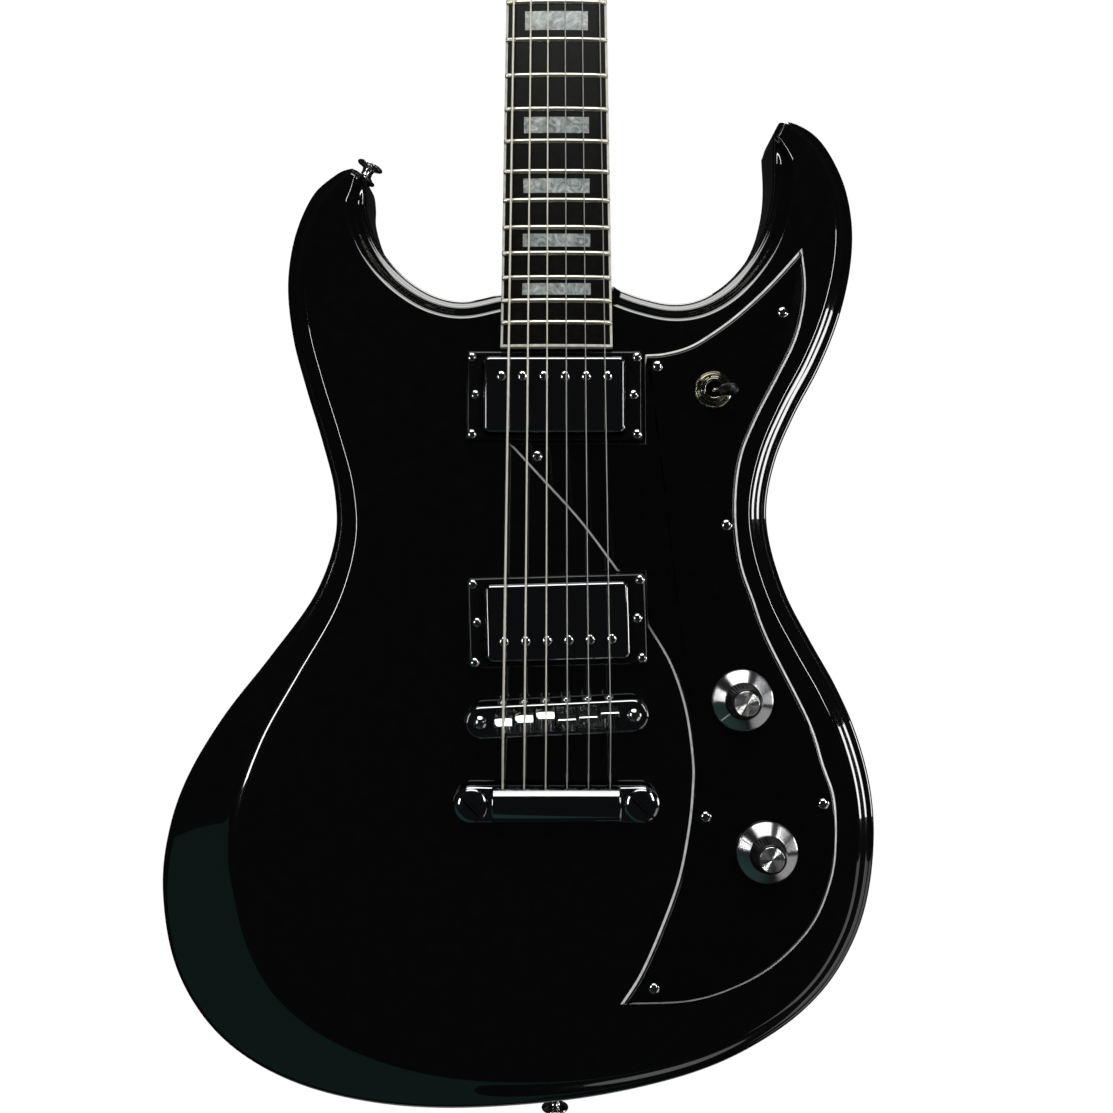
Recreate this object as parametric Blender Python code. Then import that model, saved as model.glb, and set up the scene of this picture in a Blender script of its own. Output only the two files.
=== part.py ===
"""Solid-body electric guitar with two humbucking pickups and an offset double-cutaway body.

The guitar hangs upright: +Z runs up the neck, the front faces -Y and +X is the treble side.
The origin is between the hanger's two prongs, where the neck flares into the headstock.
Every length below is in millimetres; meshes are scaled to metres as they are made.

Four frames carry the pieces, each an empty with X across, Y along and Z out of the front:
body_frame (Y = 0 on the nominal bridge line, Z = 0 on the body's top), neck_frame (Y = 0 at
the board's body end, Z = 0 on the board), headstock_frame (Y = 0 behind the nut) and
bridge_frame (in the middle of the bridge and turned by its slant).
"""

import math

import bmesh
import bpy
from mathutils import Matrix, Vector

MM = 0.001
GAP = 0.3

# Scale and neck
SCALE_LENGTH = 647.7
FRET_COUNT = 22
NUT_Z = -14.0
NECK_TILT = 2.0
HEADSTOCK_TILT = 10.0
BOARD_END_Y = 169.8
BOARD_END_HEIGHT = 9.0
BOARD_WIDTH_END = 54.8
BOARD_WIDTH_NUT = 41.5
BOARD_THICK = 6.0
BOARD_RADIUS = 305.0
FRET_WIDTH = 2.4
FRET_HEIGHT = 1.0
NUT_LENGTH = 4.8
NUT_TOP = 0.8
HEEL_DEPTH = 33.0
HEEL_LENGTH = 30.0
NECK_DEPTH_BODY = 24.0
NECK_DEPTH_NUT = 21.0
HEADSTOCK_THICK = 15.0
HEADSTOCK_LENGTH = 185.0

# Body
BODY_TOP_Y = -20.0
BODY_THICK = 41.0
LIP_WIDTH = 10.5
LIP_DEPTH = 5.0
LIP_LEDGE = 0.22
EDGE_RADIUS = 3.0
BACK_RADIUS = 5.0
ARM_CENTRE = (-165.0, -125.0)
ARM_SPREAD = 120.0
ARM_WIDTH = 40.0
ARM_DEPTH = 8.0
ARM_EASE = 0.2

# Strings, bass to treble: name, radius, x at the saddle, x at the nut, saddle crest along the bridge
STRINGS = (
    ("low_e", 0.58, -25.6, -17.5, 0.4),
    ("a", 0.46, -15.4, -10.5, 1.7),
    ("d", 0.36, -5.2, -3.5, 3.0),
    ("g", 0.28, 5.0, 3.5, -0.2),
    ("b", 0.25, 15.2, 10.5, 0.5),
    ("high_e", 0.25, 25.5, 17.5, 2.0),
)
STRING_HEIGHT_BRIDGE = 19.1
STRING_HEIGHT_NUT = 1.8

# Bridge and tailpiece
BRIDGE_CENTRE = (0.2, -10.2)
BRIDGE_SLANT = 2.7
POST_SPACING = 74.0
BRIDGE_HALF_LENGTH = 44.1
BRIDGE_WIDTH = 15.8
BRIDGE_BOTTOM = 5.6
BRIDGE_TOP = 15.0
CHANNEL_HALF_LENGTH = 30.6
CHANNEL_WIDTH = 12.6
CHANNEL_FLOOR = 8.0
ROD_HEIGHT = 11.2
SADDLE_WIDTH = 9.0
SADDLE_LENGTH = 5.6
TAIL_CENTRE = (-0.1, -52.2)
STUD_SPACING = 82.0
TAIL_HALF_WIDTH = 9.2
TAIL_HOLE_HEIGHT = 9.0

# Pickups: centre, slant in degrees, ring height, cover top
NECK_PICKUP = (-1.0, 146.4, 0.0, 5.0, 10.0)
BRIDGE_PICKUP = (0.4, 36.2, 1.6, 9.0, 14.0)
RING_SIZE = (87.5, 45.2)
COVER_SIZE = (69.2, 37.2)
COVER_HEIGHT = 17.0
COVER_WALL = 0.6
POLE_PITCH = 10.35
POLE_LINE = 8.9
PICKUP_CAVITY = (72.5, 40.6)
PICKUP_CAVITY_DEPTH = 26.0

# Controls on the pickguard
GUARD_THICK = 2.4
VOLUME_AT = (90.8, -2.7)
TONE_AT = (102.3, -76.4)
TOGGLE_AT = (77.2, 149.5)
TOGGLE_THROW = 24.0
TOGGLE_HEADING = -16.0
KNOB_FLOOR = 3.2
KNOB_TOP = 17.4
CONTROL_CAVITY = ((92.0, 6.0), (104.0, -82.0), 17.5)
SWITCH_CAVITY = ((77.2, 128.0), (77.2, 155.0), 13.5)
CONTROL_CAVITY_DEPTH = 34.0

# Side hardware
JACK_AT = (130.2, -147.6)
JACK_HEADING = -46.4
JACK_FACET = 1.6
HORN_BUTTON_AT = (-99.6, 260.4)
HORN_BUTTON_HEADING = 66.0
END_BUTTON_AT = (-0.8, -201.3)
END_BUTTON_HEADING = -90.0
SIDE_HEIGHT = -20.5

# Tuners: the three places on each side of the headstock, nearest the nut first
TUNER_X = (28.5, 27.0, 25.5)
TUNER_Y = (44.0, 84.0, 124.0)
TUNER_CASE = (17.0, 21.0, 11.5)
WORM_Y = 7.4
WORM_DEPTH = 6.0
BUTTON_SIZE = (15.0, 18.0, 7.2)
HEADSTOCK_EDGE = 41.6

# Outlines: (x, y) in body_frame. A third value of 1 marks a corner.
BODY_OUTLINE = (
    (28.6, 202.3, 1), (42.8, 197.2), (57.5, 194.2), (71.0, 196.0), (84.0, 203.4), (95.0, 215.3),
    (103.0, 229.0), (107.4, 244.0), (109.0, 259.0), (108.4, 277.0, 1), (112.4, 285.2), (121.5, 284.4),
    (131.5, 278.4), (140.0, 266.0), (146.2, 250.0), (148.9, 230.0), (147.0, 208.0), (141.0, 184.5),
    (131.5, 161.4), (119.3, 138.5), (109.7, 116.0), (105.0, 93.0), (106.8, 72.5), (114.6, 48.0),
    (126.3, 25.4), (138.8, 3.0), (148.6, -19.6), (155.4, -45.0), (157.4, -71.0), (154.2, -100.0),
    (146.3, -123.7), (132.0, -146.2), (110.5, -165.4), (80.0, -182.2), (44.0, -193.4), (0.0, -201.2),
    (-52.9, -205.0), (-95.0, -202.4), (-131.0, -193.6), (-160.0, -178.2), (-180.0, -157.6),
    (-192.6, -131.5), (-197.4, -98.0), (-194.0, -69.0), (-184.4, -42.0), (-166.2, -12.0),
    (-142.6, 18.0), (-121.2, 47.5), (-111.0, 75.0), (-110.9, 99.0), (-117.0, 124.0), (-125.6, 152.0),
    (-132.2, 177.0), (-135.0, 204.0), (-131.4, 229.0), (-122.4, 249.5), (-110.0, 260.2),
    (-103.0, 262.0, 1), (-95.8, 258.6, 1), (-95.4, 241.0), (-91.0, 227.0), (-83.2, 214.8),
    (-72.6, 204.8), (-60.0, 197.8), (-46.0, 195.4), (-29.1, 198.7, 1),
)
GUARD_OUTLINE = (
    (121.8, 220.4, 1), (105.4, 202.3), (90.5, 188.4), (78.1, 179.0), (65.8, 171.6), (53.5, 168.1),
    (43.7, 167.3, 1), (43.9, 122.9, 1), (-23.6, 122.9, 1), (-8.1, 106.0), (11.5, 84.3),
    (29.6, 60.1, 1), (43.9, 60.5, 1), (44.7, 33.0, 1), (55.5, 14.4), (62.7, -7.5), (66.1, -31.8),
    (66.0, -46.3), (64.0, -65.7), (59.1, -89.8), (50.3, -113.9), (40.5, -135.5), (30.8, -150.6, 1),
    (64.7, -149.2), (89.0, -141.7), (108.5, -130.0), (125.6, -111.5), (134.6, -89.8), (137.0, -70.5),
    (136.0, -50.0), (130.9, -34.2), (123.8, -12.3), (104.4, 26.6), (97.2, 46.1), (90.9, 65.7),
    (88.6, 91.0), (91.1, 114.8), (98.6, 134.5), (110.1, 156.7), (118.5, 174.0), (122.6, 190.0),
    (123.6, 204.0),
)
HEADSTOCK_HALF = (
    (20.9, 0.0), (21.6, 8.0), (28.0, 20.0), (36.5, 30.0), (40.5, 42.0), (41.2, 70.0),
    (40.6, 110.0), (39.4, 148.0), (35.0, 168.0), (24.0, 180.0),
)


# ---- Mesh helpers -----------------------------------------------------------------------------


def material(name, colour, roughness, metallic=0.0):
    made = bpy.data.materials.new(name)
    made.use_nodes = True
    shader = made.node_tree.nodes["Principled BSDF"]
    shader.inputs["Base Color"].default_value = (*colour, 1.0)
    shader.inputs["Roughness"].default_value = roughness
    shader.inputs["Metallic"].default_value = metallic
    return made


def frame(name, parent, place, turn):
    """An empty at a place in its parent, turned about its parent's X, Y and Z by degrees."""
    empty = bpy.data.objects.new(name, None)
    bpy.context.scene.collection.objects.link(empty)
    empty.parent = parent
    empty.location = Vector(place) * MM
    empty.rotation_euler = [math.radians(degrees) for degrees in turn]
    return empty


def solid(name, shape, finish, parent, place=(0, 0, 0), turn=0.0):
    """An object of (points, faces) at a place in its parent, turned about Z by degrees."""
    points, faces = shape
    mesh = bpy.data.meshes.new(name)
    mesh.from_pydata([Vector(point) * MM for point in points], [], faces)
    working = bmesh.new()
    working.from_mesh(mesh)
    bmesh.ops.recalc_face_normals(working, faces=working.faces)
    working.to_mesh(mesh)
    working.free()
    mesh.shade_smooth()
    mesh.set_sharp_from_angle(angle=math.radians(35))
    made = bpy.data.objects.new(name, mesh)
    bpy.context.scene.collection.objects.link(made)
    if finish:
        mesh.materials.append(finish)
    made.parent = parent
    made.location = Vector(place) * MM
    made.rotation_euler = (0, 0, math.radians(turn))
    return made


def helper(name, shape, parent, place=(0, 0, 0), turn=0.0):
    """A cutter or a lug that only a Boolean uses."""
    made = solid(name, shape, None, parent, place, turn)
    made.hide_render = True
    made.display_type = "WIRE"
    return made


def boolean(target, operation, tool):
    step = target.modifiers.new(tool.name, "BOOLEAN")
    step.operation = operation
    step.solver = "EXACT"
    step.object = tool


def cut(target, tool):
    boolean(target, "DIFFERENCE", tool)


def fuse(target, tool):
    boolean(target, "UNION", tool)


def loft(rings, closed=False):
    """A skin over rings of equal length, capped at both ends or joined end to end."""
    count = len(rings[0])
    points = [point for ring in rings for point in ring]
    faces = []
    spans = len(rings) if closed else len(rings) - 1
    for k in range(spans):
        low = k * count
        high = ((k + 1) % len(rings)) * count
        for i in range(count):
            j = (i + 1) % count
            faces.append((low + i, low + j, high + j, high + i))
    if not closed:
        faces.append(tuple(reversed(range(count))))
        faces.append(tuple(range(len(points) - count, len(points))))
    return points, faces


def prism(outline, low, high):
    return loft([[(x, y, z) for x, y in outline] for z in (low, high)])


def turned(profile, sides=16, closed=False):
    """A shape turned about Z from (radius, z) pairs; closed joins the last pair to the first."""
    angles = [2 * math.pi * i / sides for i in range(sides)]
    rings = [[(r * math.cos(a), r * math.sin(a), z) for a in angles] for r, z in profile]
    return loft(rings, closed)


def along(shape, heading, place):
    """A turned shape laid down: its Z axis points along heading degrees in the XY plane."""
    lay = Matrix.Rotation(math.radians(heading), 4, "Z") @ Matrix.Rotation(math.radians(90), 4, "Y")
    points, faces = shape
    return [Vector(place) + lay @ Vector(point) for point in points], faces


def moved(shape, place):
    points, faces = shape
    return [Vector(point) + Vector(place) for point in points], faces


def joined(shapes):
    """Several separate closed shapes as one mesh, for use as a helper."""
    points, faces = [], []
    for some_points, some_faces in shapes:
        start = len(points)
        points += some_points
        faces += [tuple(start + i for i in face) for face in some_faces]
    return points, faces


def box(size_x, size_y, low, high):
    x, y = size_x / 2, size_y / 2
    return prism([(-x, -y), (x, -y), (x, y), (-x, y)], low, high)


def rounded_rectangle(size_x, size_y, radius, steps=4):
    outline = []
    for corner, (sx, sy) in enumerate(((1, 1), (-1, 1), (-1, -1), (1, -1))):
        cx, cy = sx * (size_x / 2 - radius), sy * (size_y / 2 - radius)
        for i in range(steps + 1):
            angle = math.radians(90 * (corner + i / steps))
            outline.append((cx + radius * math.cos(angle), cy + radius * math.sin(angle)))
    return outline


def spline(points, steps, closed=True):
    """Points along a smooth curve through (x, y) or (x, y, corner) points."""
    count = len(points)
    places = [Vector(point[:2]) for point in points]
    corner = [len(point) > 2 for point in points]
    last = count if closed else count - 1
    found = []
    for i in range(last):
        before, here = places[i - 1], places[i]
        after, beyond = places[(i + 1) % count], places[(i + 2) % count]
        straight = after - here
        leave = straight if corner[i] or (not closed and i == 0) else (after - before) / 2
        ends = corner[(i + 1) % count] or (not closed and i == last - 1)
        arrive = straight if ends else (beyond - here) / 2
        for k in range(steps):
            t = k / steps
            found.append(
                here * (2 * t**3 - 3 * t**2 + 1)
                + leave * (t**3 - 2 * t**2 + t)
                + after * (3 * t**2 - 2 * t**3)
                + arrive * (t**3 - t**2)
            )
    if not closed:
        found.append(places[-1])
    return found


def inward_normals(outline):
    area = sum(a.x * b.y - b.x * a.y for a, b in zip(outline, outline[1:] + outline[:1]))
    side = 1 if area > 0 else -1
    normals = []
    for i, _ in enumerate(outline):
        run = outline[(i + 1) % len(outline)] - outline[i - 1]
        normals.append(Vector((-run.y, run.x)).normalized() * side)
    return normals


def inner_radius(outline, normals, i):
    """The radius of the largest circle inside the outline that touches it at point i."""
    best = 1000.0
    for j, other in enumerate(outline):
        step = other - outline[i]
        depth = 2 * step.dot(normals[i])
        if j != i and depth > 1e-6:
            best = min(best, step.length_squared / depth)
    return best


# ---- Frames and finishes ----------------------------------------------------------------------


def clear_scene():
    for item in list(bpy.data.objects):
        bpy.data.objects.remove(item, do_unlink=True)


clear_scene()

BRIDGE_LINE_Z = NUT_Z - SCALE_LENGTH
NECK_RUN = (SCALE_LENGTH - BOARD_END_Y) / math.cos(math.radians(NECK_TILT))
HEADSTOCK_Y = NECK_RUN + NUT_LENGTH + 0.2
NECK_TOP = -BOARD_THICK - GAP

body_frame = frame("body_frame", None, (0, BODY_TOP_Y, BRIDGE_LINE_Z), (90, 0, 0))
neck_frame = frame("neck_frame", body_frame, (0, BOARD_END_Y, BOARD_END_HEIGHT), (-NECK_TILT, 0, 0))
headstock_frame = frame(
    "headstock_frame", neck_frame, (0, HEADSTOCK_Y, NECK_TOP - 0.1), (-HEADSTOCK_TILT, 0, 0)
)
bridge_frame = frame("bridge_frame", body_frame, (*BRIDGE_CENTRE, 0), (0, 0, BRIDGE_SLANT))

black_gloss = material("black_gloss", (0.008, 0.008, 0.009), 0.06)
neck_gloss = material("neck_gloss", (0.010, 0.009, 0.009), 0.10)
ebony = material("ebony", (0.020, 0.014, 0.011), 0.38)
bone = material("bone", (0.80, 0.76, 0.66), 0.40)
black_plastic = material("black_plastic", (0.012, 0.012, 0.013), 0.18)
matte_plastic = material("matte_plastic", (0.020, 0.020, 0.021), 0.45)
dark_chrome = material("dark_chrome", (0.34, 0.34, 0.36), 0.10, 1.0)
bright_chrome = material("bright_chrome", (0.80, 0.80, 0.80), 0.12, 1.0)
aluminium = material("aluminium", (0.72, 0.72, 0.73), 0.28, 1.0)
steel = material("steel", (0.60, 0.60, 0.60), 0.30, 1.0)
string_steel = material("string_steel", (0.70, 0.68, 0.62), 0.28, 1.0)
copper = material("copper", (0.20, 0.09, 0.05), 0.5)


# ---- Body -------------------------------------------------------------------------------------


def body_shape(steps):
    """The carved body: a flat top, a dished lip round its edge, straight sides and a round back edge.

    The lip is a ledge, then a cove up to the top. Where the player's arm lies it widens into a
    slope that starts level at the top and is flat for the rest of its width.
    """
    outline = spline(BODY_OUTLINE, steps)
    normals = inward_normals(outline)
    arms, widths = [], []
    for i, place in enumerate(outline):
        arm = math.exp(-((place - Vector(ARM_CENTRE)).length_squared / ARM_SPREAD**2))
        room = 0.8 * inner_radius(outline, normals, i)
        arms.append(arm)
        widths.append(min(LIP_WIDTH + ARM_WIDTH * arm, room))

    def lip_ring(share):
        found = []
        inside = 1 - share
        slope = inside**2 / (2 * ARM_EASE) if inside < ARM_EASE else inside - ARM_EASE / 2
        slope /= 1 - ARM_EASE / 2
        for place, normal, width, arm in zip(outline, normals, widths, arms):
            depth = LIP_DEPTH * min(1.0, width / LIP_WIDTH) + ARM_DEPTH * arm
            flat = min(1.0, 4 * arm)
            rise = max(0.0, share - LIP_LEDGE) / (1 - LIP_LEDGE)
            cove = 0.5 * (1 + math.cos(math.pi * rise))
            near = max(0.0, 1 - share * width / EDGE_RADIUS)
            edge = EDGE_RADIUS * (1 - math.sqrt(1 - near**2))
            point = place + normal * share * width
            found.append((point.x, point.y, -depth * (cove + flat * (slope - cove)) - edge))
        return found

    def side_ring(inset, height):
        points = [p + n * min(inset, width) for p, n, width in zip(outline, normals, widths)]
        return [(p.x, p.y, height) for p in points]

    rings = [
        side_ring(BACK_RADIUS, -BODY_THICK),
        side_ring(0.3 * BACK_RADIUS, -BODY_THICK + 0.3 * BACK_RADIUS),
        side_ring(0.0, -BODY_THICK + BACK_RADIUS),
    ]
    rings += [lip_ring(share) for share in (0.0, 0.08, 0.25, 0.5, 0.75, 0.88, 1.0)]
    return loft(rings)


def capsule(start, end, radius, steps=8):
    """An outline round two points at a distance."""
    start, end = Vector(start), Vector(end)
    heading = math.atan2(end.y - start.y, end.x - start.x)
    outline = []
    for centre, base in ((end, -math.pi / 2), (start, math.pi / 2)):
        for i in range(steps + 1):
            angle = heading + base + math.pi * i / steps
            outline.append((centre.x + radius * math.cos(angle), centre.y + radius * math.sin(angle)))
    return outline


def make_body():
    body = solid("body", body_shape(2), black_gloss, body_frame)
    pocket = box(BOARD_WIDTH_END + 2 * GAP, 80.0, -HEEL_DEPTH - GAP, 12.0)
    cut(body, helper("neck_pocket", moved(pocket, (0, 40 - GAP, 0)), neck_frame))
    for name, (x, y, slant, _, _) in (("neck", NECK_PICKUP), ("bridge", BRIDGE_PICKUP)):
        cavity = prism(rounded_rectangle(*PICKUP_CAVITY, 4), -PICKUP_CAVITY_DEPTH, 5)
        cut(body, helper(f"{name}_pickup_cavity", cavity, body_frame, (x, y, 0), slant))
    for name, ends in (("control", CONTROL_CAVITY), ("switch", SWITCH_CAVITY)):
        cavity = prism(capsule(*ends), -CONTROL_CAVITY_DEPTH, 5)
        cut(body, helper(f"{name}_cavity", cavity, body_frame))
    for side in (-1, 1):
        post_hole = turned([(3.3, -22), (3.3, 5)], 16)
        cut(body, helper(f"post_hole_{side}", post_hole, bridge_frame, (side * POST_SPACING / 2, 0, 0)))
        stud_hole = turned([(4.0, -24), (4.0, 5)], 16)
        place = (TAIL_CENTRE[0] + side * STUD_SPACING / 2, TAIL_CENTRE[1], 0)
        cut(body, helper(f"stud_hole_{side}", stud_hole, body_frame, place))
    place = (*JACK_AT, SIDE_HEIGHT)
    bore = turned([(11.5, -36), (11.5, 5)], 20)
    facet = turned([(22.0, -JACK_FACET), (22.0, 20)], 6)
    cut(body, helper("jack_bore", along(bore, JACK_HEADING, place), body_frame))
    cut(body, helper("jack_facet", along(facet, JACK_HEADING, place), body_frame))
    for name, at, heading in (
        ("horn", HORN_BUTTON_AT, HORN_BUTTON_HEADING),
        ("end", END_BUTTON_AT, END_BUTTON_HEADING),
    ):
        hole = turned([(2.2, -24), (2.2, 6)], 12)
        place = (*at, SIDE_HEIGHT)
        cut(body, helper(f"{name}_button_hole", along(hole, heading, place), body_frame))
        seat = turned([(7.6, -0.2), (7.6, 12)], 20)
        cut(body, helper(f"{name}_button_seat", along(seat, heading, place), body_frame))


# ---- Neck -------------------------------------------------------------------------------------


def board_width(y):
    share = y / NECK_RUN
    return BOARD_WIDTH_END + (BOARD_WIDTH_NUT - BOARD_WIDTH_END) * share


def neck_section(y, top, depth, power, half_width):
    """A D-shaped section from a flat top: power 2 is an ellipse, a high power is nearly square."""
    steps = 14
    flat = 2.0
    section = []
    for i in range(steps + 1):
        angle = math.pi * i / steps
        across = math.copysign(abs(math.cos(angle)) ** (2 / power), math.cos(angle))
        down = math.sin(angle) ** (2 / power) if i not in (0, steps) else 0.0
        section.append((half_width * across, y, top - flat - (depth + top - flat) * down))
    return [(half_width, y, top)] + section + [(-half_width, y, top)]


def fret_places():
    """Distances of the frets from the board's body end, last fret first."""
    places = []
    for fret in range(FRET_COUNT, 0, -1):
        from_bridge = SCALE_LENGTH * 2 ** (-fret / 12)
        places.append((from_bridge - BOARD_END_Y) / math.cos(math.radians(NECK_TILT)))
    return places


def make_neck():
    rings = []
    for y, depth, power in (
        (0.0, HEEL_DEPTH, 12), (HEEL_LENGTH, HEEL_DEPTH, 12), (HEEL_LENGTH + 7, 31.0, 6),
        (HEEL_LENGTH + 16, 27.0, 3.6), (HEEL_LENGTH + 30, NECK_DEPTH_BODY, 2.6),
        (NECK_RUN * 0.55, 22.6, 2.3), (NECK_RUN - 12, NECK_DEPTH_NUT, 2.3),
    ):
        rings.append(neck_section(y, NECK_TOP, depth, power, board_width(y) / 2))
    nut_half = BOARD_WIDTH_NUT / 2
    rings.append(neck_section(NECK_RUN + 2, NECK_TOP, NECK_DEPTH_NUT + 1, 2.4, nut_half))
    rings.append(neck_section(HEADSTOCK_Y, NECK_TOP, NECK_DEPTH_NUT + 1.5, 2.6, nut_half))
    rings.append(neck_section(HEADSTOCK_Y + 14, NECK_TOP - 4.2, 22.5, 3.0, nut_half - 2))
    neck = solid("neck", loft(rings), neck_gloss, neck_frame)

    right = [(p.x, p.y) for p in spline(HEADSTOCK_HALF, 2, closed=False)]
    outline = right + [(0.0, HEADSTOCK_LENGTH)] + [(-x, y) for x, y in reversed(right)]
    fuse(neck, helper("headstock", prism(outline, -HEADSTOCK_THICK, 0), headstock_frame))

    channel = box(6.8, NECK_RUN - 22, -17.0, 2.0)
    cut(neck, helper("rod_channel", moved(channel, (0, NECK_RUN / 2 + 20, 0)), neck_frame))
    access = prism(rounded_rectangle(12.0, 30.0, 5), -9.5, 5)
    cut(neck, helper("rod_access", moved(access, (0, 17.0, 0)), headstock_frame))
    for side in (-1, 1):
        for k in range(3):
            hole = turned([(5.3, -30), (5.3, 30)], 12)
            place = (side * TUNER_X[k], TUNER_Y[k], 0)
            cut(neck, helper(f"tuner_hole_{side}_{k}", hole, headstock_frame, place))


def make_board():
    """The board with its frets: a step up and a step down at each fret."""
    def section(y, raised):
        half = board_width(y) / 2
        points = [(-half, y, -BOARD_THICK)]
        for share in (-1, -0.5, 0, 0.5, 1):
            x = share * half
            points.append((x, y, raised - x * x / (2 * BOARD_RADIUS)))
        points.append((half, y, -BOARD_THICK))
        return points

    rings = [section(0, 0)]
    for place in fret_places():
        for offset, raised in ((-1.2, 0), (-0.8, FRET_HEIGHT), (0.8, FRET_HEIGHT), (1.2, 0)):
            rings.append(section(place + offset, raised))
    rings.append(section(NECK_RUN - GAP, 0))
    solid("fingerboard", loft(rings), ebony, neck_frame)


def make_neck_hardware():
    nut = box(BOARD_WIDTH_NUT, NUT_LENGTH, NECK_TOP + GAP, NUT_TOP)
    solid("nut", nut, bone, neck_frame, (0, NECK_RUN + NUT_LENGTH / 2, 0))
    rod = along(turned([(2.9, 0), (2.9, NECK_RUN - 26)], 8), 90, (0, 36.0, -12.6))
    solid("truss_rod", rod, steel, neck_frame)
    cover = prism([(-12.0, 2.5), (12.0, 2.5), (12.0, 24), (5.0, 42), (-5.0, 42), (-12.0, 24)], GAP, 2.6)
    solid("truss_rod_cover", cover, black_plastic, headstock_frame)


# ---- Strings ----------------------------------------------------------------------------------


def tube(path, radius, sides=6):
    """A round bar along a path of points, with square ends."""
    rings = []
    for i, place in enumerate(path):
        after = path[min(i + 1, len(path) - 1)]
        before = path[max(i - 1, 0)]
        run = (after - before).normalized()
        side = run.cross(Vector((1, 0, 0))).normalized()
        up = side.cross(run)
        rings.append([
            place + (side * math.cos(a) + up * math.sin(a)) * radius
            for a in (2 * math.pi * k / sides for k in range(sides))
        ])
    return loft(rings)


def between(owner, place):
    """A place in another frame, as body_frame millimetres."""
    bpy.context.view_layer.update()
    world = owner.matrix_world @ (Vector(place) * MM)
    return body_frame.matrix_world.inverted() @ world / MM


def make_strings():
    for i, (name, radius, x_saddle, x_nut, _) in enumerate(STRINGS):
        side = -1 if i < 3 else 1
        k = i if i < 3 else 5 - i
        slack = between(bridge_frame, (x_saddle - BRIDGE_CENTRE[0], -4.2, STRING_HEIGHT_BRIDGE))
        x_tail = x_saddle * 1.015
        path = [
            Vector((x_tail, TAIL_CENTRE[1] + 1.0, TAIL_HOLE_HEIGHT)),
            Vector((x_tail, TAIL_CENTRE[1] + TAIL_HALF_WIDTH + 1.5, TAIL_HOLE_HEIGHT + 0.2)),
            slack,
            between(neck_frame, (x_nut, NECK_RUN, STRING_HEIGHT_NUT)),
            between(neck_frame, (x_nut, NECK_RUN + NUT_LENGTH + 0.6, STRING_HEIGHT_NUT)),
            between(headstock_frame, (side * (TUNER_X[k] - 5.0), TUNER_Y[k] - 1.5, 7.2)),
        ]
        solid(f"string_{name}", tube(path, radius), string_steel, body_frame)


# ---- Bridge and tailpiece ---------------------------------------------------------------------


def make_bridge():
    end = BRIDGE_HALF_LENGTH - BRIDGE_WIDTH / 2
    plan = capsule((-end, 0), (end, 0), BRIDGE_WIDTH / 2)
    bridge = solid("bridge_body", prism(plan, BRIDGE_BOTTOM, BRIDGE_TOP), dark_chrome, bridge_frame)
    channel = box(2 * CHANNEL_HALF_LENGTH, CHANNEL_WIDTH, CHANNEL_FLOOR, BRIDGE_TOP + 5)
    cut(bridge, helper("saddle_channel", channel, bridge_frame))
    rods = []
    for _, _, x_saddle, _, _ in STRINGS:
        rod = turned([(1.2, 0), (1.2, BRIDGE_WIDTH), (2.1, BRIDGE_WIDTH), (2.1, BRIDGE_WIDTH + 1.4)], 6)
        start = (x_saddle - BRIDGE_CENTRE[0], -BRIDGE_WIDTH / 2 + 0.4, ROD_HEIGHT)
        rods.append(along(rod, 90, start))
    fuse(bridge, helper("intonation_rods", joined(rods), bridge_frame))
    for side in (-1, 1):
        hole = turned([(3.3, 0), (3.3, BRIDGE_TOP + 5)], 16)
        place = (side * POST_SPACING / 2, 0, 0)
        cut(bridge, helper(f"bridge_post_hole_{side}", hole, bridge_frame, place))
        post = turned([
            (3.0, -20), (3.0, 0.4), (6.8, 0.4), (6.8, BRIDGE_BOTTOM - GAP), (3.0, BRIDGE_BOTTOM - GAP),
            (3.0, BRIDGE_TOP + GAP), (4.5, BRIDGE_TOP + GAP), (4.5, BRIDGE_TOP + 1.6),
            (3.9, BRIDGE_TOP + 2.1),
        ], 12)
        name = "bridge_post_bass" if side < 0 else "bridge_post_treble"
        solid(name, post, dark_chrome, bridge_frame, place)


def make_saddles():
    """Each saddle is a ridge across the channel with a bore that clears its rod."""
    for name, radius, x_saddle, _, crest in STRINGS:
        half = SADDLE_LENGTH / 2
        base, shoulder = CHANNEL_FLOOR + 0.4, BRIDGE_TOP - 0.6
        peak = STRING_HEIGHT_BRIDGE - radius - 0.45
        profile = [
            (-half, base), (half, base), (half, shoulder), (0.35, peak), (-0.35, peak), (-half, shoulder),
        ]
        rings = [[(x, y, z) for y, z in profile] for x in (-SADDLE_WIDTH / 2, SADDLE_WIDTH / 2)]
        place = (x_saddle - BRIDGE_CENTRE[0], crest, 0)
        saddle = solid(f"saddle_{name}", loft(rings), bright_chrome, bridge_frame, place)
        bore = along(turned([(1.6, -8), (1.6, 8)], 10), 90, (0, 0, ROD_HEIGHT))
        cut(saddle, helper(f"saddle_bore_{name}", bore, bridge_frame, place))


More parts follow.
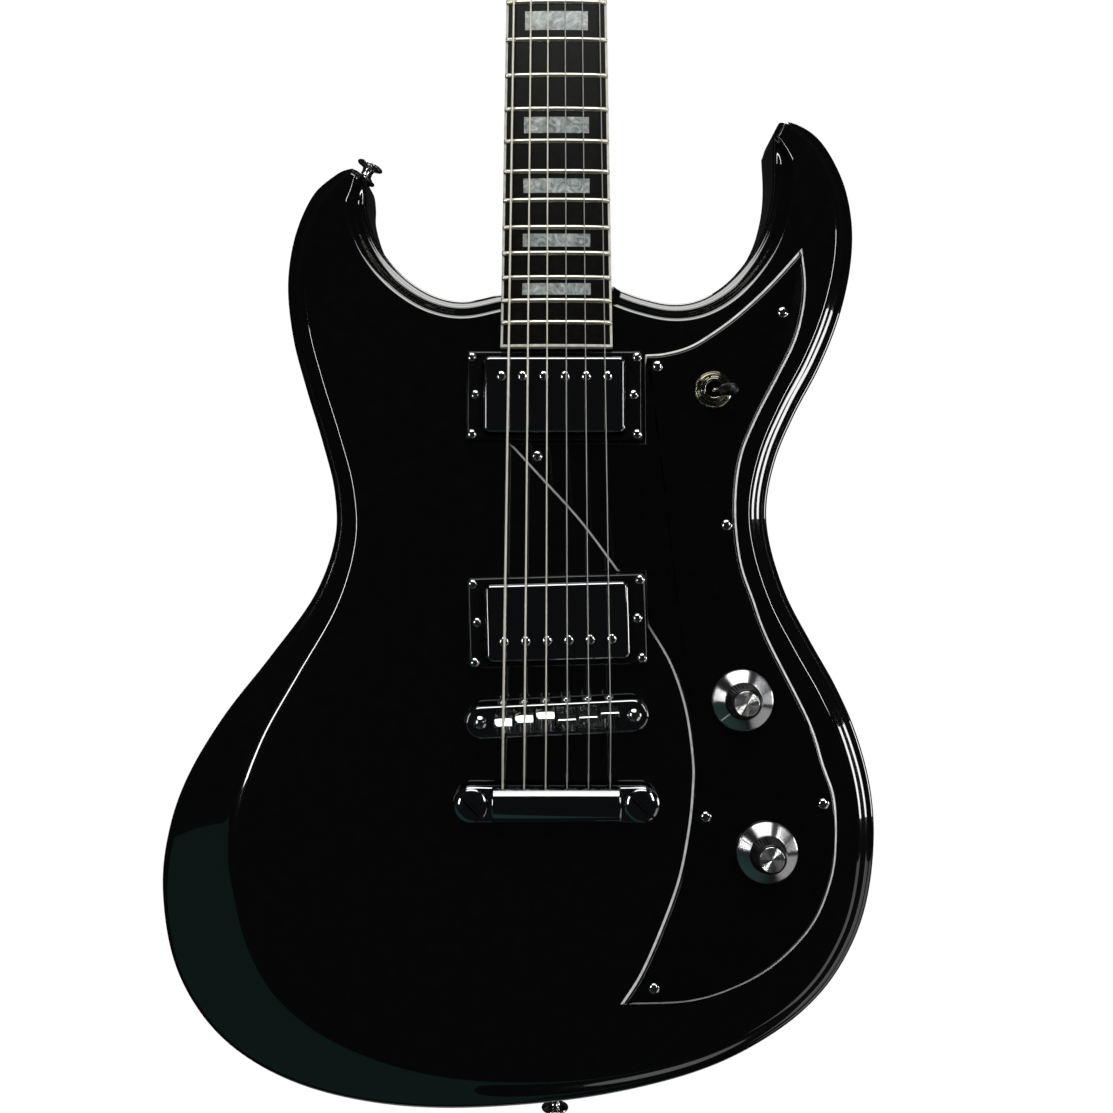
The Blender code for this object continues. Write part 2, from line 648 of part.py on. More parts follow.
def make_tailpiece():
    half = STUD_SPACING / 2
    place = (*TAIL_CENTRE, 0)
    lugs = prism(capsule((-half, 0), (half, 0), TAIL_HALF_WIDTH), 4.0, 9.4)
    tail = solid("tailpiece", lugs, dark_chrome, body_frame, place)
    arch = []
    for i in range(11):
        angle = math.pi * i / 10
        arch.append((TAIL_HALF_WIDTH * math.cos(angle), 6.0 + 7.6 * math.sin(angle) ** 0.8))
    arch += [(-TAIL_HALF_WIDTH, 3.4), (TAIL_HALF_WIDTH, 3.4)]
    bar = loft([[(x, y, z) for y, z in arch] for x in (-31.5, 31.5)])
    fuse(tail, helper("tail_bar", bar, body_frame, place))
    holes = []
    for _, _, x_saddle, _, _ in STRINGS:
        start = (x_saddle * 1.015 - TAIL_CENTRE[0], 0, TAIL_HOLE_HEIGHT)
        holes.append(along(turned([(1.5, -2), (1.5, 15)], 8), 90, start))
    cut(tail, helper("string_holes", joined(holes), body_frame, place))
    for side in (-1, 1):
        hole = turned([(4.2, 0), (4.2, 20)], 16)
        at = (TAIL_CENTRE[0] + side * half, TAIL_CENTRE[1], 0)
        cut(tail, helper(f"tail_stud_hole_{side}", hole, body_frame, at))
        stud = turned([(3.7, -22), (3.7, 9.8), (8.2, 9.8), (8.2, 11.8), (7.2, 12.8)], 18)
        name = "tail_stud_bass" if side < 0 else "tail_stud_treble"
        solid(name, stud, dark_chrome, body_frame, at)


# ---- Pickups ----------------------------------------------------------------------------------


def make_pickup(name, x, y, slant, ring_top, cover_top):
    """A frame on the body, a thin metal cover that slides in it and the coil block inside."""
    place = (x, y, 0)
    base = rounded_rectangle(*RING_SIZE, 2.0)
    crown = rounded_rectangle(RING_SIZE[0] - 1.6, RING_SIZE[1] - 1.6, 1.6)
    shape = loft([[(px, py, z) for px, py in plan] for plan, z in (
        (base, GAP), (base, ring_top - 0.8), (crown, ring_top))])
    ring = solid(f"{name}_pickup_ring", shape, black_plastic, body_frame, place, slant)
    window = prism(rounded_rectangle(COVER_SIZE[0] + 1.0, COVER_SIZE[1] + 1.0, 3.5), -5, 30)
    cut(ring, helper(f"{name}_ring_window", window, body_frame, place, slant))

    low = cover_top - COVER_HEIGHT
    wide, deep = COVER_SIZE
    shape = loft([
        [(px, py, z) for px, py in rounded_rectangle(wide - shrink, deep - shrink, radius)]
        for shrink, radius, z in (
            (0.0, 3.2, low), (0.0, 3.2, cover_top - 1.4), (0.9, 2.8, cover_top - 0.4), (2.8, 2.2, cover_top),
        )
    ])
    cover = solid(f"{name}_pickup_cover", shape, dark_chrome, body_frame, place, slant)
    hollow_plan = rounded_rectangle(wide - 2 * COVER_WALL, deep - 2 * COVER_WALL, 2.6)
    hollow = prism(hollow_plan, low - 5, cover_top - 1.9)
    cut(cover, helper(f"{name}_cover_hollow", hollow, body_frame, place, slant))
    pole_y = -POLE_LINE if name == "bridge" else POLE_LINE
    holes = []
    poles = []
    for k in range(6):
        px = (k - 2.5) * POLE_PITCH
        holes.append(moved(turned([(2.7, cover_top - 9), (2.7, cover_top + 9)], 8), (px, pole_y, 0)))
        screw = turned([
            (1.6, cover_top - 6), (1.6, cover_top - 1.2), (2.3, cover_top - 0.2), (2.3, cover_top + 0.5),
        ], 8)
        poles.append(moved(screw, (px, pole_y, 0)))
    cut(cover, helper(f"{name}_pole_holes", joined(holes), body_frame, place, slant))

    block = box(wide - 4, deep - 4, low - 1.6, cover_top - 3.0)
    coils = solid(f"{name}_pickup_coils", block, copper, body_frame, place, slant)
    fuse(coils, helper(f"{name}_poles", joined(poles), body_frame, place, slant))


# ---- Pickguard and controls -------------------------------------------------------------------


def make_pickguard():
    outline = [(p.x, p.y) for p in spline(GUARD_OUTLINE, 2)]
    guard = solid("pickguard", prism(outline, GAP, GAP + GUARD_THICK), black_plastic, body_frame)
    for name, at, radius in (
        ("volume", VOLUME_AT, 5.0), ("tone", TONE_AT, 5.0), ("toggle", TOGGLE_AT, 6.2),
    ):
        hole = turned([(radius, -5), (radius, 8)], 20)
        cut(guard, helper(f"guard_hole_{name}", hole, body_frame, (*at, 0)))


def make_control(name, at):
    """A potentiometer below the pickguard and, on its shaft, the knob."""
    pot = turned([
        (12.0, -13.0), (12.0, -3.0), (4.5, -3.0), (4.5, 6.0), (3.3, 6.0), (3.3, -8.0), (0.9, -8.0),
        (0.9, -13.0),
    ], 14, closed=True)
    solid(f"{name}_pot", pot, steel, body_frame, (*at, 0))
    knob = turned([
        (3.0, -7.0), (3.0, 7.4), (6.6, 7.4), (6.6, KNOB_FLOOR), (14.9, KNOB_FLOOR), (14.9, 4.4),
        (9.1, 7.6), (9.1, 8.2), (7.3, 16.2), (6.9, 16.8), (6.6, 17.0), (6.1, KNOB_TOP),
    ], 20)
    solid(f"{name}_knob", knob, aluminium, body_frame, (*at, 0))


def make_toggle():
    place = (*TOGGLE_AT, 0)
    switch = turned([
        (8.6, -30.0), (8.6, -0.4), (5.7, -0.4), (5.7, 3.1), (9.2, 3.1), (9.2, 4.3), (6.8, 4.3), (6.8, 6.6),
        (6.0, 7.2), (4.7, 7.2), (2.6, 2.0), (2.6, -4.0), (1.0, -4.0), (1.0, -30.0),
    ], 14, closed=True)
    solid("toggle_switch", switch, bright_chrome, body_frame, place)
    lever = turned([
        (1.0, -1.2), (1.4, 0.0), (1.4, 8.6), (2.4, 8.8), (2.8, 10.4), (3.1, 17.6), (2.9, 19.4), (2.0, 20.6),
        (0.8, 21.0),
    ], 12)
    made = solid("toggle_lever", lever, matte_plastic, body_frame, (*TOGGLE_AT, 2.4))
    lean = Matrix.Rotation(math.radians(TOGGLE_HEADING), 4, "Z")
    lean = lean @ Matrix.Rotation(math.radians(TOGGLE_THROW), 4, "Y")
    made.rotation_euler = lean.to_euler()


def make_side_hardware():
    place = (*JACK_AT, SIDE_HEIGHT)
    out = -JACK_FACET + GAP
    plate = turned([
        (12.8, out), (12.8, out + 1.4), (12.0, out + 2.0), (5.1, out + 2.0), (5.1, out),
    ], 20, closed=True)
    solid("jack_plate", along(plate, JACK_HEADING, place), bright_chrome, body_frame)
    jack = turned([
        (7.5, -26), (7.5, out - 0.9), (4.8, out - 0.9), (4.8, out + 2.3), (6.9, out + 2.3), (6.9, out + 4.3),
        (3.25, out + 4.3), (3.25, -22), (1.0, -22), (1.0, -26),
    ], 14, closed=True)
    solid("output_jack", along(jack, JACK_HEADING, place), bright_chrome, body_frame)
    button = turned([
        (1.9, -20), (1.9, 0.1), (6.0, 0.1), (5.8, 1.2), (3.4, 2.6), (3.0, 5.4), (3.6, 7.2), (6.7, 8.4),
        (6.9, 9.4), (6.0, 10.0),
    ], 14)
    for name, at, heading in (
        ("strap_button_horn", HORN_BUTTON_AT, HORN_BUTTON_HEADING),
        ("strap_button_end", END_BUTTON_AT, END_BUTTON_HEADING),
    ):
        solid(name, along(button, heading, (*at, SIDE_HEIGHT)), bright_chrome, body_frame)


# ---- Tuners -----------------------------------------------------------------------------------


def make_tuner(name, side, k):
    """A sealed gear case behind the headstock, the string post through it and the side button."""
    turn = 0 if side > 0 else 180
    place = (side * TUNER_X[k], TUNER_Y[k], 0)
    back = -HEADSTOCK_THICK - GAP
    worm_z = back - WORM_DEPTH
    size_x, size_y, depth = TUNER_CASE
    case = moved(prism(rounded_rectangle(size_x, size_y, 4, 2), back - depth, back), (0, 3.0, 0))
    housing = solid(f"tuner_case_{name}", case, dark_chrome, headstock_frame, place, turn)
    bush = turned([(4.9, back - 3), (4.9, GAP), (7.0, GAP), (7.0, 2.0), (5.0, 3.4)], 10)
    fuse(housing, helper(f"tuner_bush_{name}", bush, headstock_frame, place, turn))
    bore = turned([(3.4, back - 9), (3.4, 9)], 10)
    cut(housing, helper(f"tuner_bore_{name}", bore, headstock_frame, place, turn))
    worm_bore = along(turned([(2.5, 4.6), (2.5, 20)], 8), 0, (0, WORM_Y, worm_z))
    cut(housing, helper(f"tuner_worm_bore_{name}", worm_bore, headstock_frame, place, turn))

    post = turned([
        (3.0, back - 8.6), (3.0, 5.4), (4.0, 5.6), (4.0, 8.8), (3.0, 9.0), (2.6, 10.4), (2.6, 12.6),
        (3.0, 14.0), (3.0, 16.4), (2.4, 17.0),
    ], 10)
    solid(f"tuner_post_{name}", post, bright_chrome, headstock_frame, place, turn)

    reach = HEADSTOCK_EDGE - TUNER_X[k]
    grip_start = reach + 4.0
    shaft = turned([
        (2.1, 5.0), (2.1, reach + 1.0), (3.2, reach + 1.4), (3.2, reach + 3.0), (2.1, reach + 3.4),
        (2.1, grip_start), (4.0, grip_start + 0.2), (4.0, grip_start + 10),
    ], 10)
    worm = Matrix.Rotation(math.radians(turn), 4, "Z") @ Vector((0, WORM_Y, worm_z)) + Vector(place)
    shaft = along(shaft, 0, (0, 0, 0))
    button = solid(f"tuner_button_{name}", shaft, dark_chrome, headstock_frame, worm, turn)
    length, width, thick = BUTTON_SIZE
    grip = prism(rounded_rectangle(length, width, 5, 3), -thick / 2, thick / 2)
    grip = moved(grip, (grip_start + 7.6, 0, 0))
    fuse(button, helper(f"tuner_grip_{name}", grip, headstock_frame, worm, turn))


make_body()
make_neck()
make_board()
make_neck_hardware()
make_strings()
make_bridge()
make_saddles()
make_tailpiece()
make_pickup("neck", *NECK_PICKUP)
make_pickup("bridge", *BRIDGE_PICKUP)
make_pickguard()
make_control("volume", VOLUME_AT)
make_control("tone", TONE_AT)
make_toggle()
make_side_hardware()
for number, (string_name, *_) in enumerate(STRINGS):
    make_tuner(string_name, -1 if number < 3 else 1, number if number < 3 else 5 - number)
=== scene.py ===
"""Looks of the electric guitar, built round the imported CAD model.

Pieces are made in millimetres in four frames and placed in metres. In each frame X runs to the
treble side, Y up the neck and Z out of the front. The frames follow the CAD model's own: the
body's starts on the nominal bridge line and on the body's top, the neck's at the board's body
end, the head's behind the nut and the bridge's in the middle of the bridge.
"""

import math

import bmesh
import bpy
from mathutils import Matrix, Vector


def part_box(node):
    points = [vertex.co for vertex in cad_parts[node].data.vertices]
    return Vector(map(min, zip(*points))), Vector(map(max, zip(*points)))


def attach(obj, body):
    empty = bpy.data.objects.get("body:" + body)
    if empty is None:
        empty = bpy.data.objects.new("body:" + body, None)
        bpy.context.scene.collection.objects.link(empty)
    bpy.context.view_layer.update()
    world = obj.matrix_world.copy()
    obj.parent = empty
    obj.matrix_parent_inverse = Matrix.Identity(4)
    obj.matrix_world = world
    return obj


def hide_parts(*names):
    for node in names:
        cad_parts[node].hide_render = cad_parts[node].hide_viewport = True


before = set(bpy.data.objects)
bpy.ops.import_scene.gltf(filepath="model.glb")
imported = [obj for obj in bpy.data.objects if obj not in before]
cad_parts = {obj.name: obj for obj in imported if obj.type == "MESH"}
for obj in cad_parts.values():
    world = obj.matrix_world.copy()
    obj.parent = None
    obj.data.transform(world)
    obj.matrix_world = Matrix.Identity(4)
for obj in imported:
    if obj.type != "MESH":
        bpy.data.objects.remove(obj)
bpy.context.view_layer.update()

MM = 0.001
ROOT = "guitar"
SCALE_LENGTH = 647.7
NUT_Z = -14.0
FRET_COUNT = 22
INLAY_FRETS = (1, 3, 5, 7, 9, 12, 15, 17, 19, 21)
BOARD_END_Y = 169.8
BOARD_END_HEIGHT = 9.0
BOARD_WIDTH_END = 54.8
BOARD_WIDTH_NUT = 41.5
BOARD_THICK = 6.0
BOARD_RADIUS = 305.0
NECK_TILT = 2.0
HEAD_TILT = 10.0
NUT_LENGTH = 4.8
HEAD_THICK = 15.0
HEAD_LENGTH = 185.0
NECK_RUN = (SCALE_LENGTH - BOARD_END_Y) / math.cos(math.radians(NECK_TILT))
NECK_TOP = -BOARD_THICK - 0.3

BODY_THICK = 41.0
LIP_WIDTH = 10.5
LIP_DEPTH = 5.0
LIP_LEDGE = 0.22
EDGE_RADIUS = 3.0
BACK_RADIUS = 5.0
ARM_CENTRE = (-165.0, -125.0)
ARM_SPREAD = 120.0
ARM_WIDTH = 40.0
ARM_DEPTH = 8.0
ARM_EASE = 0.2
GUARD_TOP = 2.7

BRIDGE_CENTRE = (0.2, -10.2)
BRIDGE_SLANT = 2.7
BRIDGE_TOP = 15.0
POST_X = 37.0
ROD_HEIGHT = 11.2
THREAD_ROWS = 68
SADDLE_WIDTH = 9.0
TAIL_CENTRE = (-0.1, -52.2)
STUD_X = 41.0
POLE_PITCH = 10.35
SIDE_HEIGHT = -20.5
FLAT_LIMIT = 0.99999

# Strings, bass to treble: name, radius, x at the saddle, x at the nut, saddle crest, wound
STRINGS = (("low_e", 0.58, -25.6, -17.5, 0.4, True), ("a", 0.46, -15.4, -10.5, 1.7, True),
    ("d", 0.36, -5.2, -3.5, 3.0, True), ("g", 0.28, 5.0, 3.5, -0.2, False), ("b", 0.25, 15.2, 10.5, 0.5,
    False), ("high_e", 0.25, 25.5, 17.5, 2.0, False))
STRING_HEIGHT = 19.1
NUT_SLOT = 1.8
TAIL_SPREAD = 1.015
WINDING_TURNS = 3
WINDING_STEPS = 28
WINDING_HEIGHT = 5.7
TUNER_X = (28.5, 27.0, 25.5)
TUNER_Y = (44.0, 84.0, 124.0)

# Outlines in the body's frame and the head's. A third value of 1 marks a corner.
BODY_OUTLINE = ((28.6, 202.3, 1), (42.8, 197.2), (57.5, 194.2), (71.0, 196.0), (84.0, 203.4), (95.0, 215.3),
    (103.0, 229.0), (107.4, 244.0), (109.0, 259.0), (108.4, 277.0, 1), (112.4, 285.2), (121.5, 284.4),
    (131.5, 278.4), (140.0, 266.0), (146.2, 250.0), (148.9, 230.0), (147.0, 208.0), (141.0, 184.5),
    (131.5, 161.4), (119.3, 138.5), (109.7, 116.0), (105.0, 93.0), (106.8, 72.5), (114.6, 48.0),
    (126.3, 25.4), (138.8, 3.0), (148.6, -19.6), (155.4, -45.0), (157.4, -71.0), (154.2, -100.0),
    (146.3, -123.7), (132.0, -146.2), (110.5, -165.4), (80.0, -182.2), (44.0, -193.4), (0.0, -201.2),
    (-52.9, -205.0), (-95.0, -202.4), (-131.0, -193.6), (-160.0, -178.2), (-180.0, -157.6),
    (-192.6, -131.5), (-197.4, -98.0), (-194.0, -69.0), (-184.4, -42.0), (-166.2, -12.0), (-142.6, 18.0),
    (-121.2, 47.5), (-111.0, 75.0), (-110.9, 99.0), (-117.0, 124.0), (-125.6, 152.0), (-132.2, 177.0),
    (-135.0, 204.0), (-131.4, 229.0), (-122.4, 249.5), (-111.0, 259.2), (-103.8, 261.8), (-99.4, 261.0),
    (-96.4, 257.6), (-95.4, 250.0), (-95.2, 241.0), (-91.0, 227.0), (-83.2, 214.8), (-72.6, 204.8),
    (-60.0, 197.8), (-46.0, 195.4), (-29.1, 198.7, 1))
GUARD_OUTLINE = ((121.8, 220.4, 1), (105.4, 202.3), (90.5, 188.4), (78.1, 179.0), (65.8, 171.6),
    (53.5, 168.1), (43.7, 167.3, 1), (43.9, 122.9, 1), (-23.6, 122.9, 1), (-8.1, 106.0), (11.5, 84.3),
    (29.6, 60.1, 1), (43.9, 60.5, 1), (44.7, 33.0, 1), (55.5, 14.4), (62.7, -7.5), (66.1, -31.8),
    (66.0, -46.3), (64.0, -65.7), (59.1, -89.8), (50.3, -113.9), (40.5, -135.5), (30.8, -150.6, 1),
    (64.7, -149.2), (89.0, -141.7), (108.5, -130.0), (125.6, -111.5), (134.6, -89.8), (137.0, -70.5),
    (136.0, -50.0), (130.9, -34.2), (123.8, -12.3), (104.4, 26.6), (97.2, 46.1), (90.9, 65.7), (88.6, 91.0),
    (91.1, 114.8), (98.6, 134.5), (110.1, 156.7), (118.5, 174.0), (122.6, 190.0), (123.6, 204.0))
GUARD_SCREWS = ((111.7, 187.9), (49.8, 161.2), (83.6, 82.9), (-9.6, 116.8), (72.8, -59.4), (130.2, -53.1),
    (47.3, -142.2))
HEAD_HALF = ((20.9, 0.0), (21.6, 8.0), (28.0, 20.0), (36.5, 30.0), (40.5, 42.0), (41.2, 70.0),
    (40.6, 110.0), (39.4, 148.0), (35.0, 168.0), (24.0, 180.0))


# ---- Frames ----


def step_to(x, y, z):
    return Matrix.Translation(Vector((x, y, z)) * MM)


def turn_about(axis, degrees):
    return Matrix.Rotation(math.radians(degrees), 4, axis)


BODY = step_to(0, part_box("body")[0].y / MM, NUT_Z - SCALE_LENGTH) @ turn_about("X", 90)
NECK = BODY @ step_to(0, BOARD_END_Y, BOARD_END_HEIGHT) @ turn_about("X", -NECK_TILT)
HEAD = NECK @ step_to(0, NECK_RUN + NUT_LENGTH + 0.2, NECK_TOP - 0.1) @ turn_about("X", -HEAD_TILT)
BRIDGE = BODY @ step_to(*BRIDGE_CENTRE, 0) @ turn_about("Z", BRIDGE_SLANT)


# ---- Shapes: each is (points, faces) in millimetres ----


def loft(rings, closed=False):
    """A skin over rings of equal length, capped at both ends or joined end to end."""
    count = len(rings[0])
    points = [Vector(point) for ring in rings for point in ring]
    faces = []
    for k in range(len(rings) if closed else len(rings) - 1):
        low = k * count
        high = ((k + 1) % len(rings)) * count
        for i in range(count):
            j = (i + 1) % count
            faces.append((low + i, low + j, high + j, high + i))
    if not closed:
        faces.append(tuple(reversed(range(count))))
        faces.append(tuple(range(len(points) - count, len(points))))
    return points, faces


def at_height(outline, z):
    return [(p[0], p[1], z) for p in outline]


def prism(outline, low, high):
    return loft([at_height(outline, low), at_height(outline, high)])


def turned(profile, sides=48, closed=False):
    """A shape turned about Z from (radius, z) pairs."""
    angles = [2 * math.pi * i / sides for i in range(sides)]
    return loft([[(r * math.cos(a), r * math.sin(a), z) for a in angles] for r, z in profile], closed)


def rod(radius, low, high, sides=48):
    return turned([(radius, low), (radius, high)], sides)


def rounded(profile, radius, steps=3):
    """A profile of (radius, z) pairs with its inner corners rounded by short arcs."""
    found = [Vector(profile[0])]
    for before, corner, after in zip(profile, profile[1:], profile[2:]):
        before, corner, after = Vector(before), Vector(corner), Vector(after)
        reach = min(radius, 0.45 * (before - corner).length, 0.45 * (after - corner).length)
        start = corner + (before - corner).normalized() * reach
        end = corner + (after - corner).normalized() * reach
        for i in range(steps + 1):
            t = i / steps
            found.append(start * (1 - t) ** 2 + corner * 2 * t * (1 - t) + end * t**2)
    found.append(Vector(profile[-1]))
    return [(p.x, p.y) for p in found]


def rounded_rectangle(size_x, size_y, radius, steps=8):
    outline = []
    for corner, (sx, sy) in enumerate(((1, 1), (-1, 1), (-1, -1), (1, -1))):
        cx, cy = sx * (size_x / 2 - radius), sy * (size_y / 2 - radius)
        for i in range(steps + 1):
            angle = math.radians(90 * (corner + i / steps))
            outline.append((cx + radius * math.cos(angle), cy + radius * math.sin(angle)))
    return outline


def capsule(half, radius, steps=20):
    outline = []
    for centre, base in ((half, -math.pi / 2), (-half, math.pi / 2)):
        for i in range(steps + 1):
            angle = base + math.pi * i / steps
            outline.append((centre + radius * math.cos(angle), radius * math.sin(angle)))
    return outline


def block(plan, low, high, crown=0.8, foot=0.0, steps=4):
    """An upright block whose plan(inset) shrinks round its top edge, and round its foot."""
    rings = []
    if foot:
        for i in range(steps):
            angle = math.pi / 2 * i / steps
            rings.append(at_height(plan(foot * (1 - math.sin(angle))), low + foot * (1 - math.cos(angle))))
        rings.append(at_height(plan(0), low + foot))
    else:
        rings.append(at_height(plan(0), low))
    for i in range(steps + 1):
        angle = math.pi / 2 * i / steps
        rings.append(at_height(plan(crown * (1 - math.cos(angle))), high - crown * (1 - math.sin(angle))))
    return loft(rings)


def rectangle_plan(size_x, size_y, radius):
    return lambda inset: rounded_rectangle(size_x - 2 * inset, size_y - 2 * inset, max(0.3, radius - inset))


def moved(shape, place=(0, 0, 0), turn=Matrix.Identity(4)):
    points, faces = shape
    return [Vector(place) + turn @ Vector(point) for point in points], faces


def joined(*shapes):
    points, faces = [], []
    for some_points, some_faces in shapes:
        start = len(points)
        points = points + list(some_points)
        faces += [tuple(start + i for i in face) for face in some_faces]
    return points, faces


def spline(points, steps, closed=True):
    """Points along a smooth curve through (x, y) or (x, y, corner) points."""
    count = len(points)
    places = [Vector(point[:2]) for point in points]
    corner = [len(point) > 2 for point in points]
    found = []
    for i in range(count if closed else count - 1):
        before, here = places[i - 1], places[i]
        after, beyond = places[(i + 1) % count], places[(i + 2) % count]
        straight = after - here
        leave = straight if corner[i] or (not closed and i == 0) else (after - before) / 2
        ends = corner[(i + 1) % count] or (not closed and i == count - 2)
        arrive = straight if ends else (beyond - here) / 2
        for k in range(steps):
            t = k / steps
            found.append(here * (2 * t**3 - 3 * t**2 + 1) + leave * (t**3 - 2 * t**2 + t)
                + after * (3 * t**2 - 2 * t**3) + arrive * (t**3 - t**2))
    if not closed:
        found.append(places[-1])
    return found


def inward(outline, mitre=1.0):
    """The inward normal at each point, longer at a corner by up to mitre times."""
    area = sum(a.x * b.y - b.x * a.y for a, b in zip(outline, outline[1:] + outline[:1]))
    side = 1 if area > 0 else -1
    normals = []
    for i, here in enumerate(outline):
        into = (here - outline[i - 1]).normalized()
        out_of = (outline[(i + 1) % len(outline)] - here).normalized()
        run = (into + out_of).normalized() if (into + out_of).length > 1e-6 else into
        stretch = min(mitre, 1 / max(0.05, run.dot(into)))
        normals.append(Vector((-run.y, run.x)) * side * stretch)
    return normals


def tube(path, radius, sides=12):
    rings = []
    for i, place in enumerate(path):
        run = (path[min(i + 1, len(path) - 1)] - path[max(i - 1, 0)]).normalized()
        side = run.cross(Vector((1, 0.01, 0))).normalized()
        up = side.cross(run)
        rings.append([place + (side * math.cos(a) + up * math.sin(a)) * radius
            for a in (2 * math.pi * k / sides for k in range(sides))])
    return loft(rings)


# ---- Pieces ----


def mesh_of(name, shape, finish, sharp=32):
    points, faces = shape
    mesh = bpy.data.meshes.new(name)
    mesh.from_pydata([point * MM for point in points], [], faces)
    working = bmesh.new()
    working.from_mesh(mesh)
    bmesh.ops.recalc_face_normals(working, faces=working.faces)
    working.to_mesh(mesh)
    working.free()
    mesh.materials.append(finish)
    mesh.shade_smooth()
    mesh.set_sharp_from_angle(angle=math.radians(sharp))
    return mesh


def place_mesh(name, mesh, where, node=None, body=ROOT):
    """An object on a body, standing for a CAD node if one is named."""
    made = bpy.data.objects.new(name, mesh)
    bpy.context.scene.collection.objects.link(made)
    made.matrix_world = where
    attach(made, body)
    if node:
        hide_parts(node)
    return made


def carved(mesh, cutters, sharp=32, operation="DIFFERENCE"):
    """The mesh with some shapes cut out of it, or joined to it."""
    target = bpy.data.objects.new("carve_target", mesh)
    bpy.context.scene.collection.objects.link(target)
    tools = []
    for shape in cutters:
        tool = bpy.data.objects.new("carve_tool", mesh_of("carve_tool", shape, mesh.materials[0]))
        bpy.context.scene.collection.objects.link(tool)
        step = target.modifiers.new("carve", "BOOLEAN")
        step.operation = operation
        step.solver = "EXACT"
        step.object = tool
        tools.append(tool)
    bpy.context.view_layer.update()
    graph = bpy.context.evaluated_depsgraph_get()
    result = bpy.data.meshes.new_from_object(target.evaluated_get(graph))
    for item in [target, *tools]:
        bpy.data.objects.remove(item)
    result.shade_smooth()
    result.set_sharp_from_angle(angle=math.radians(sharp))
    return result


def piece(name, shape, finish, where, node=None, body=ROOT, cutters=(), sharp=32):
    mesh = mesh_of(name, shape, finish, sharp)
    if cutters:
        mesh = carved(mesh, cutters, sharp)
    return place_mesh(name, mesh, where, node, body)


# ---- Materials ----


class Finish:
    """A Principled material with short calls for the nodes that feed it."""

    def __init__(self, name, colour, roughness, metallic=0.0, coat=0.0):
        self.material = bpy.data.materials.new(name)
        self.material.use_nodes = True
        self.nodes = self.material.node_tree.nodes
        self.shader = self.nodes["Principled BSDF"]
        self.set("Base Color", (*colour, 1.0))
        self.set("Roughness", roughness)
        self.set("Metallic", metallic)
        self.set("Coat Weight", coat)
        self.set("Coat Roughness", 0.02)
        self.coordinates = self.nodes.new("ShaderNodeTexCoord").outputs["Object"]

    def set(self, socket, value):
        self.shader.inputs[socket].default_value = value

    def link(self, start, end):
        self.material.node_tree.links.new(start, end)

    def noise(self, scale, detail=4.0, stretch=(1, 1, 1), distortion=0.0):
        mapping = self.nodes.new("ShaderNodeMapping")
        mapping.inputs["Scale"].default_value = stretch
        self.link(self.coordinates, mapping.inputs["Vector"])
        texture = self.nodes.new("ShaderNodeTexNoise")
        texture.inputs["Scale"].default_value = scale
        texture.inputs["Detail"].default_value = detail
        texture.inputs["Distortion"].default_value = distortion
        self.link(mapping.outputs["Vector"], texture.inputs["Vector"])
        return texture.outputs["Fac"]

    def ramp(self, fac, stops):
        """Colours or grey levels at places along a factor."""
        ramp = self.nodes.new("ShaderNodeValToRGB")
        while len(ramp.color_ramp.elements) < len(stops):
            ramp.color_ramp.elements.new(0.5)
        for element, (place, colour) in zip(ramp.color_ramp.elements, stops):
            element.position = place
            element.color = (*colour, 1.0) if hasattr(colour, "__len__") else (colour, colour, colour, 1.0)
        self.link(fac, ramp.inputs["Fac"])
        return ramp.outputs["Color"]

    def colour(self, fac, stops):
        self.link(self.ramp(fac, stops), self.shader.inputs["Base Color"])

    def mottle(self, scale, detail, colour, dark, pale, ends=(0.3, 0.7)):
        """The colour drifting between a darker and a paler tone."""
        tones = [[c * share for c in colour] if share != 1 else colour for share in (dark, pale)]
        self.colour(self.noise(scale, detail), tuple(zip(ends, tones)))

    def roughness(self, fac, low, high):
        self.link(self.ramp(fac, ((0.3, low), (0.7, high))), self.shader.inputs["Roughness"])

    def bump(self, fac, distance, strength=1.0):
        bump = self.nodes.new("ShaderNodeBump")
        bump.inputs["Distance"].default_value = distance
        bump.inputs["Strength"].default_value = strength
        self.link(fac, bump.inputs["Height"])
        self.link(bump.outputs["Normal"], self.shader.inputs["Normal"])


def lacquer(name, colour):
    """Black lacquer: a clear coat over near black, with faint hazing from handling."""
    made = Finish(name, colour, 0.12, coat=1.0)
    made.set("Coat IOR", 1.9)
    made.set("Specular IOR Level", 0.15)
    haze = made.noise(18.0, 5.0)
    made.mottle(140.0, 3.0, colour, 0.75, 1.3, (0.35, 0.7))
    made.roughness(haze, 0.10, 0.16)
    return made.material


def plated(name, colour, roughness, wear=0.05):
    """Plated metal with faint smudges."""
    made = Finish(name, colour, roughness, metallic=1.0)
    smudge = made.noise(160.0, 4.0)
    made.roughness(smudge, roughness, roughness + wear)
    made.mottle(60.0, 2.0, colour, 0.93, 1, (0.3, 0.75))
    return made.material


def turned_metal(name):
    """Aluminium turned on a lathe: its fine rings stretch each highlight into a wedge."""
    made = Finish(name, (0.62, 0.62, 0.63), 0.24, metallic=1.0)
    made.set("Anisotropic", 0.92)
    made.set("Anisotropic Rotation", 0.25)
    tangent = made.nodes.new("ShaderNodeTangent")
    tangent.direction_type = "RADIAL"
    tangent.axis = "Z"
    made.link(tangent.outputs["Tangent"], made.shader.inputs["Tangent"])
    rings = made.nodes.new("ShaderNodeTexWave")
    rings.wave_type = "RINGS"
    rings.rings_direction = "Z"
    rings.inputs["Scale"].default_value = 900.0
    rings.inputs["Distortion"].default_value = 0.6
    made.link(made.coordinates, rings.inputs["Vector"])
    made.roughness(rings.outputs["Fac"], 0.20, 0.28)
    return made.material


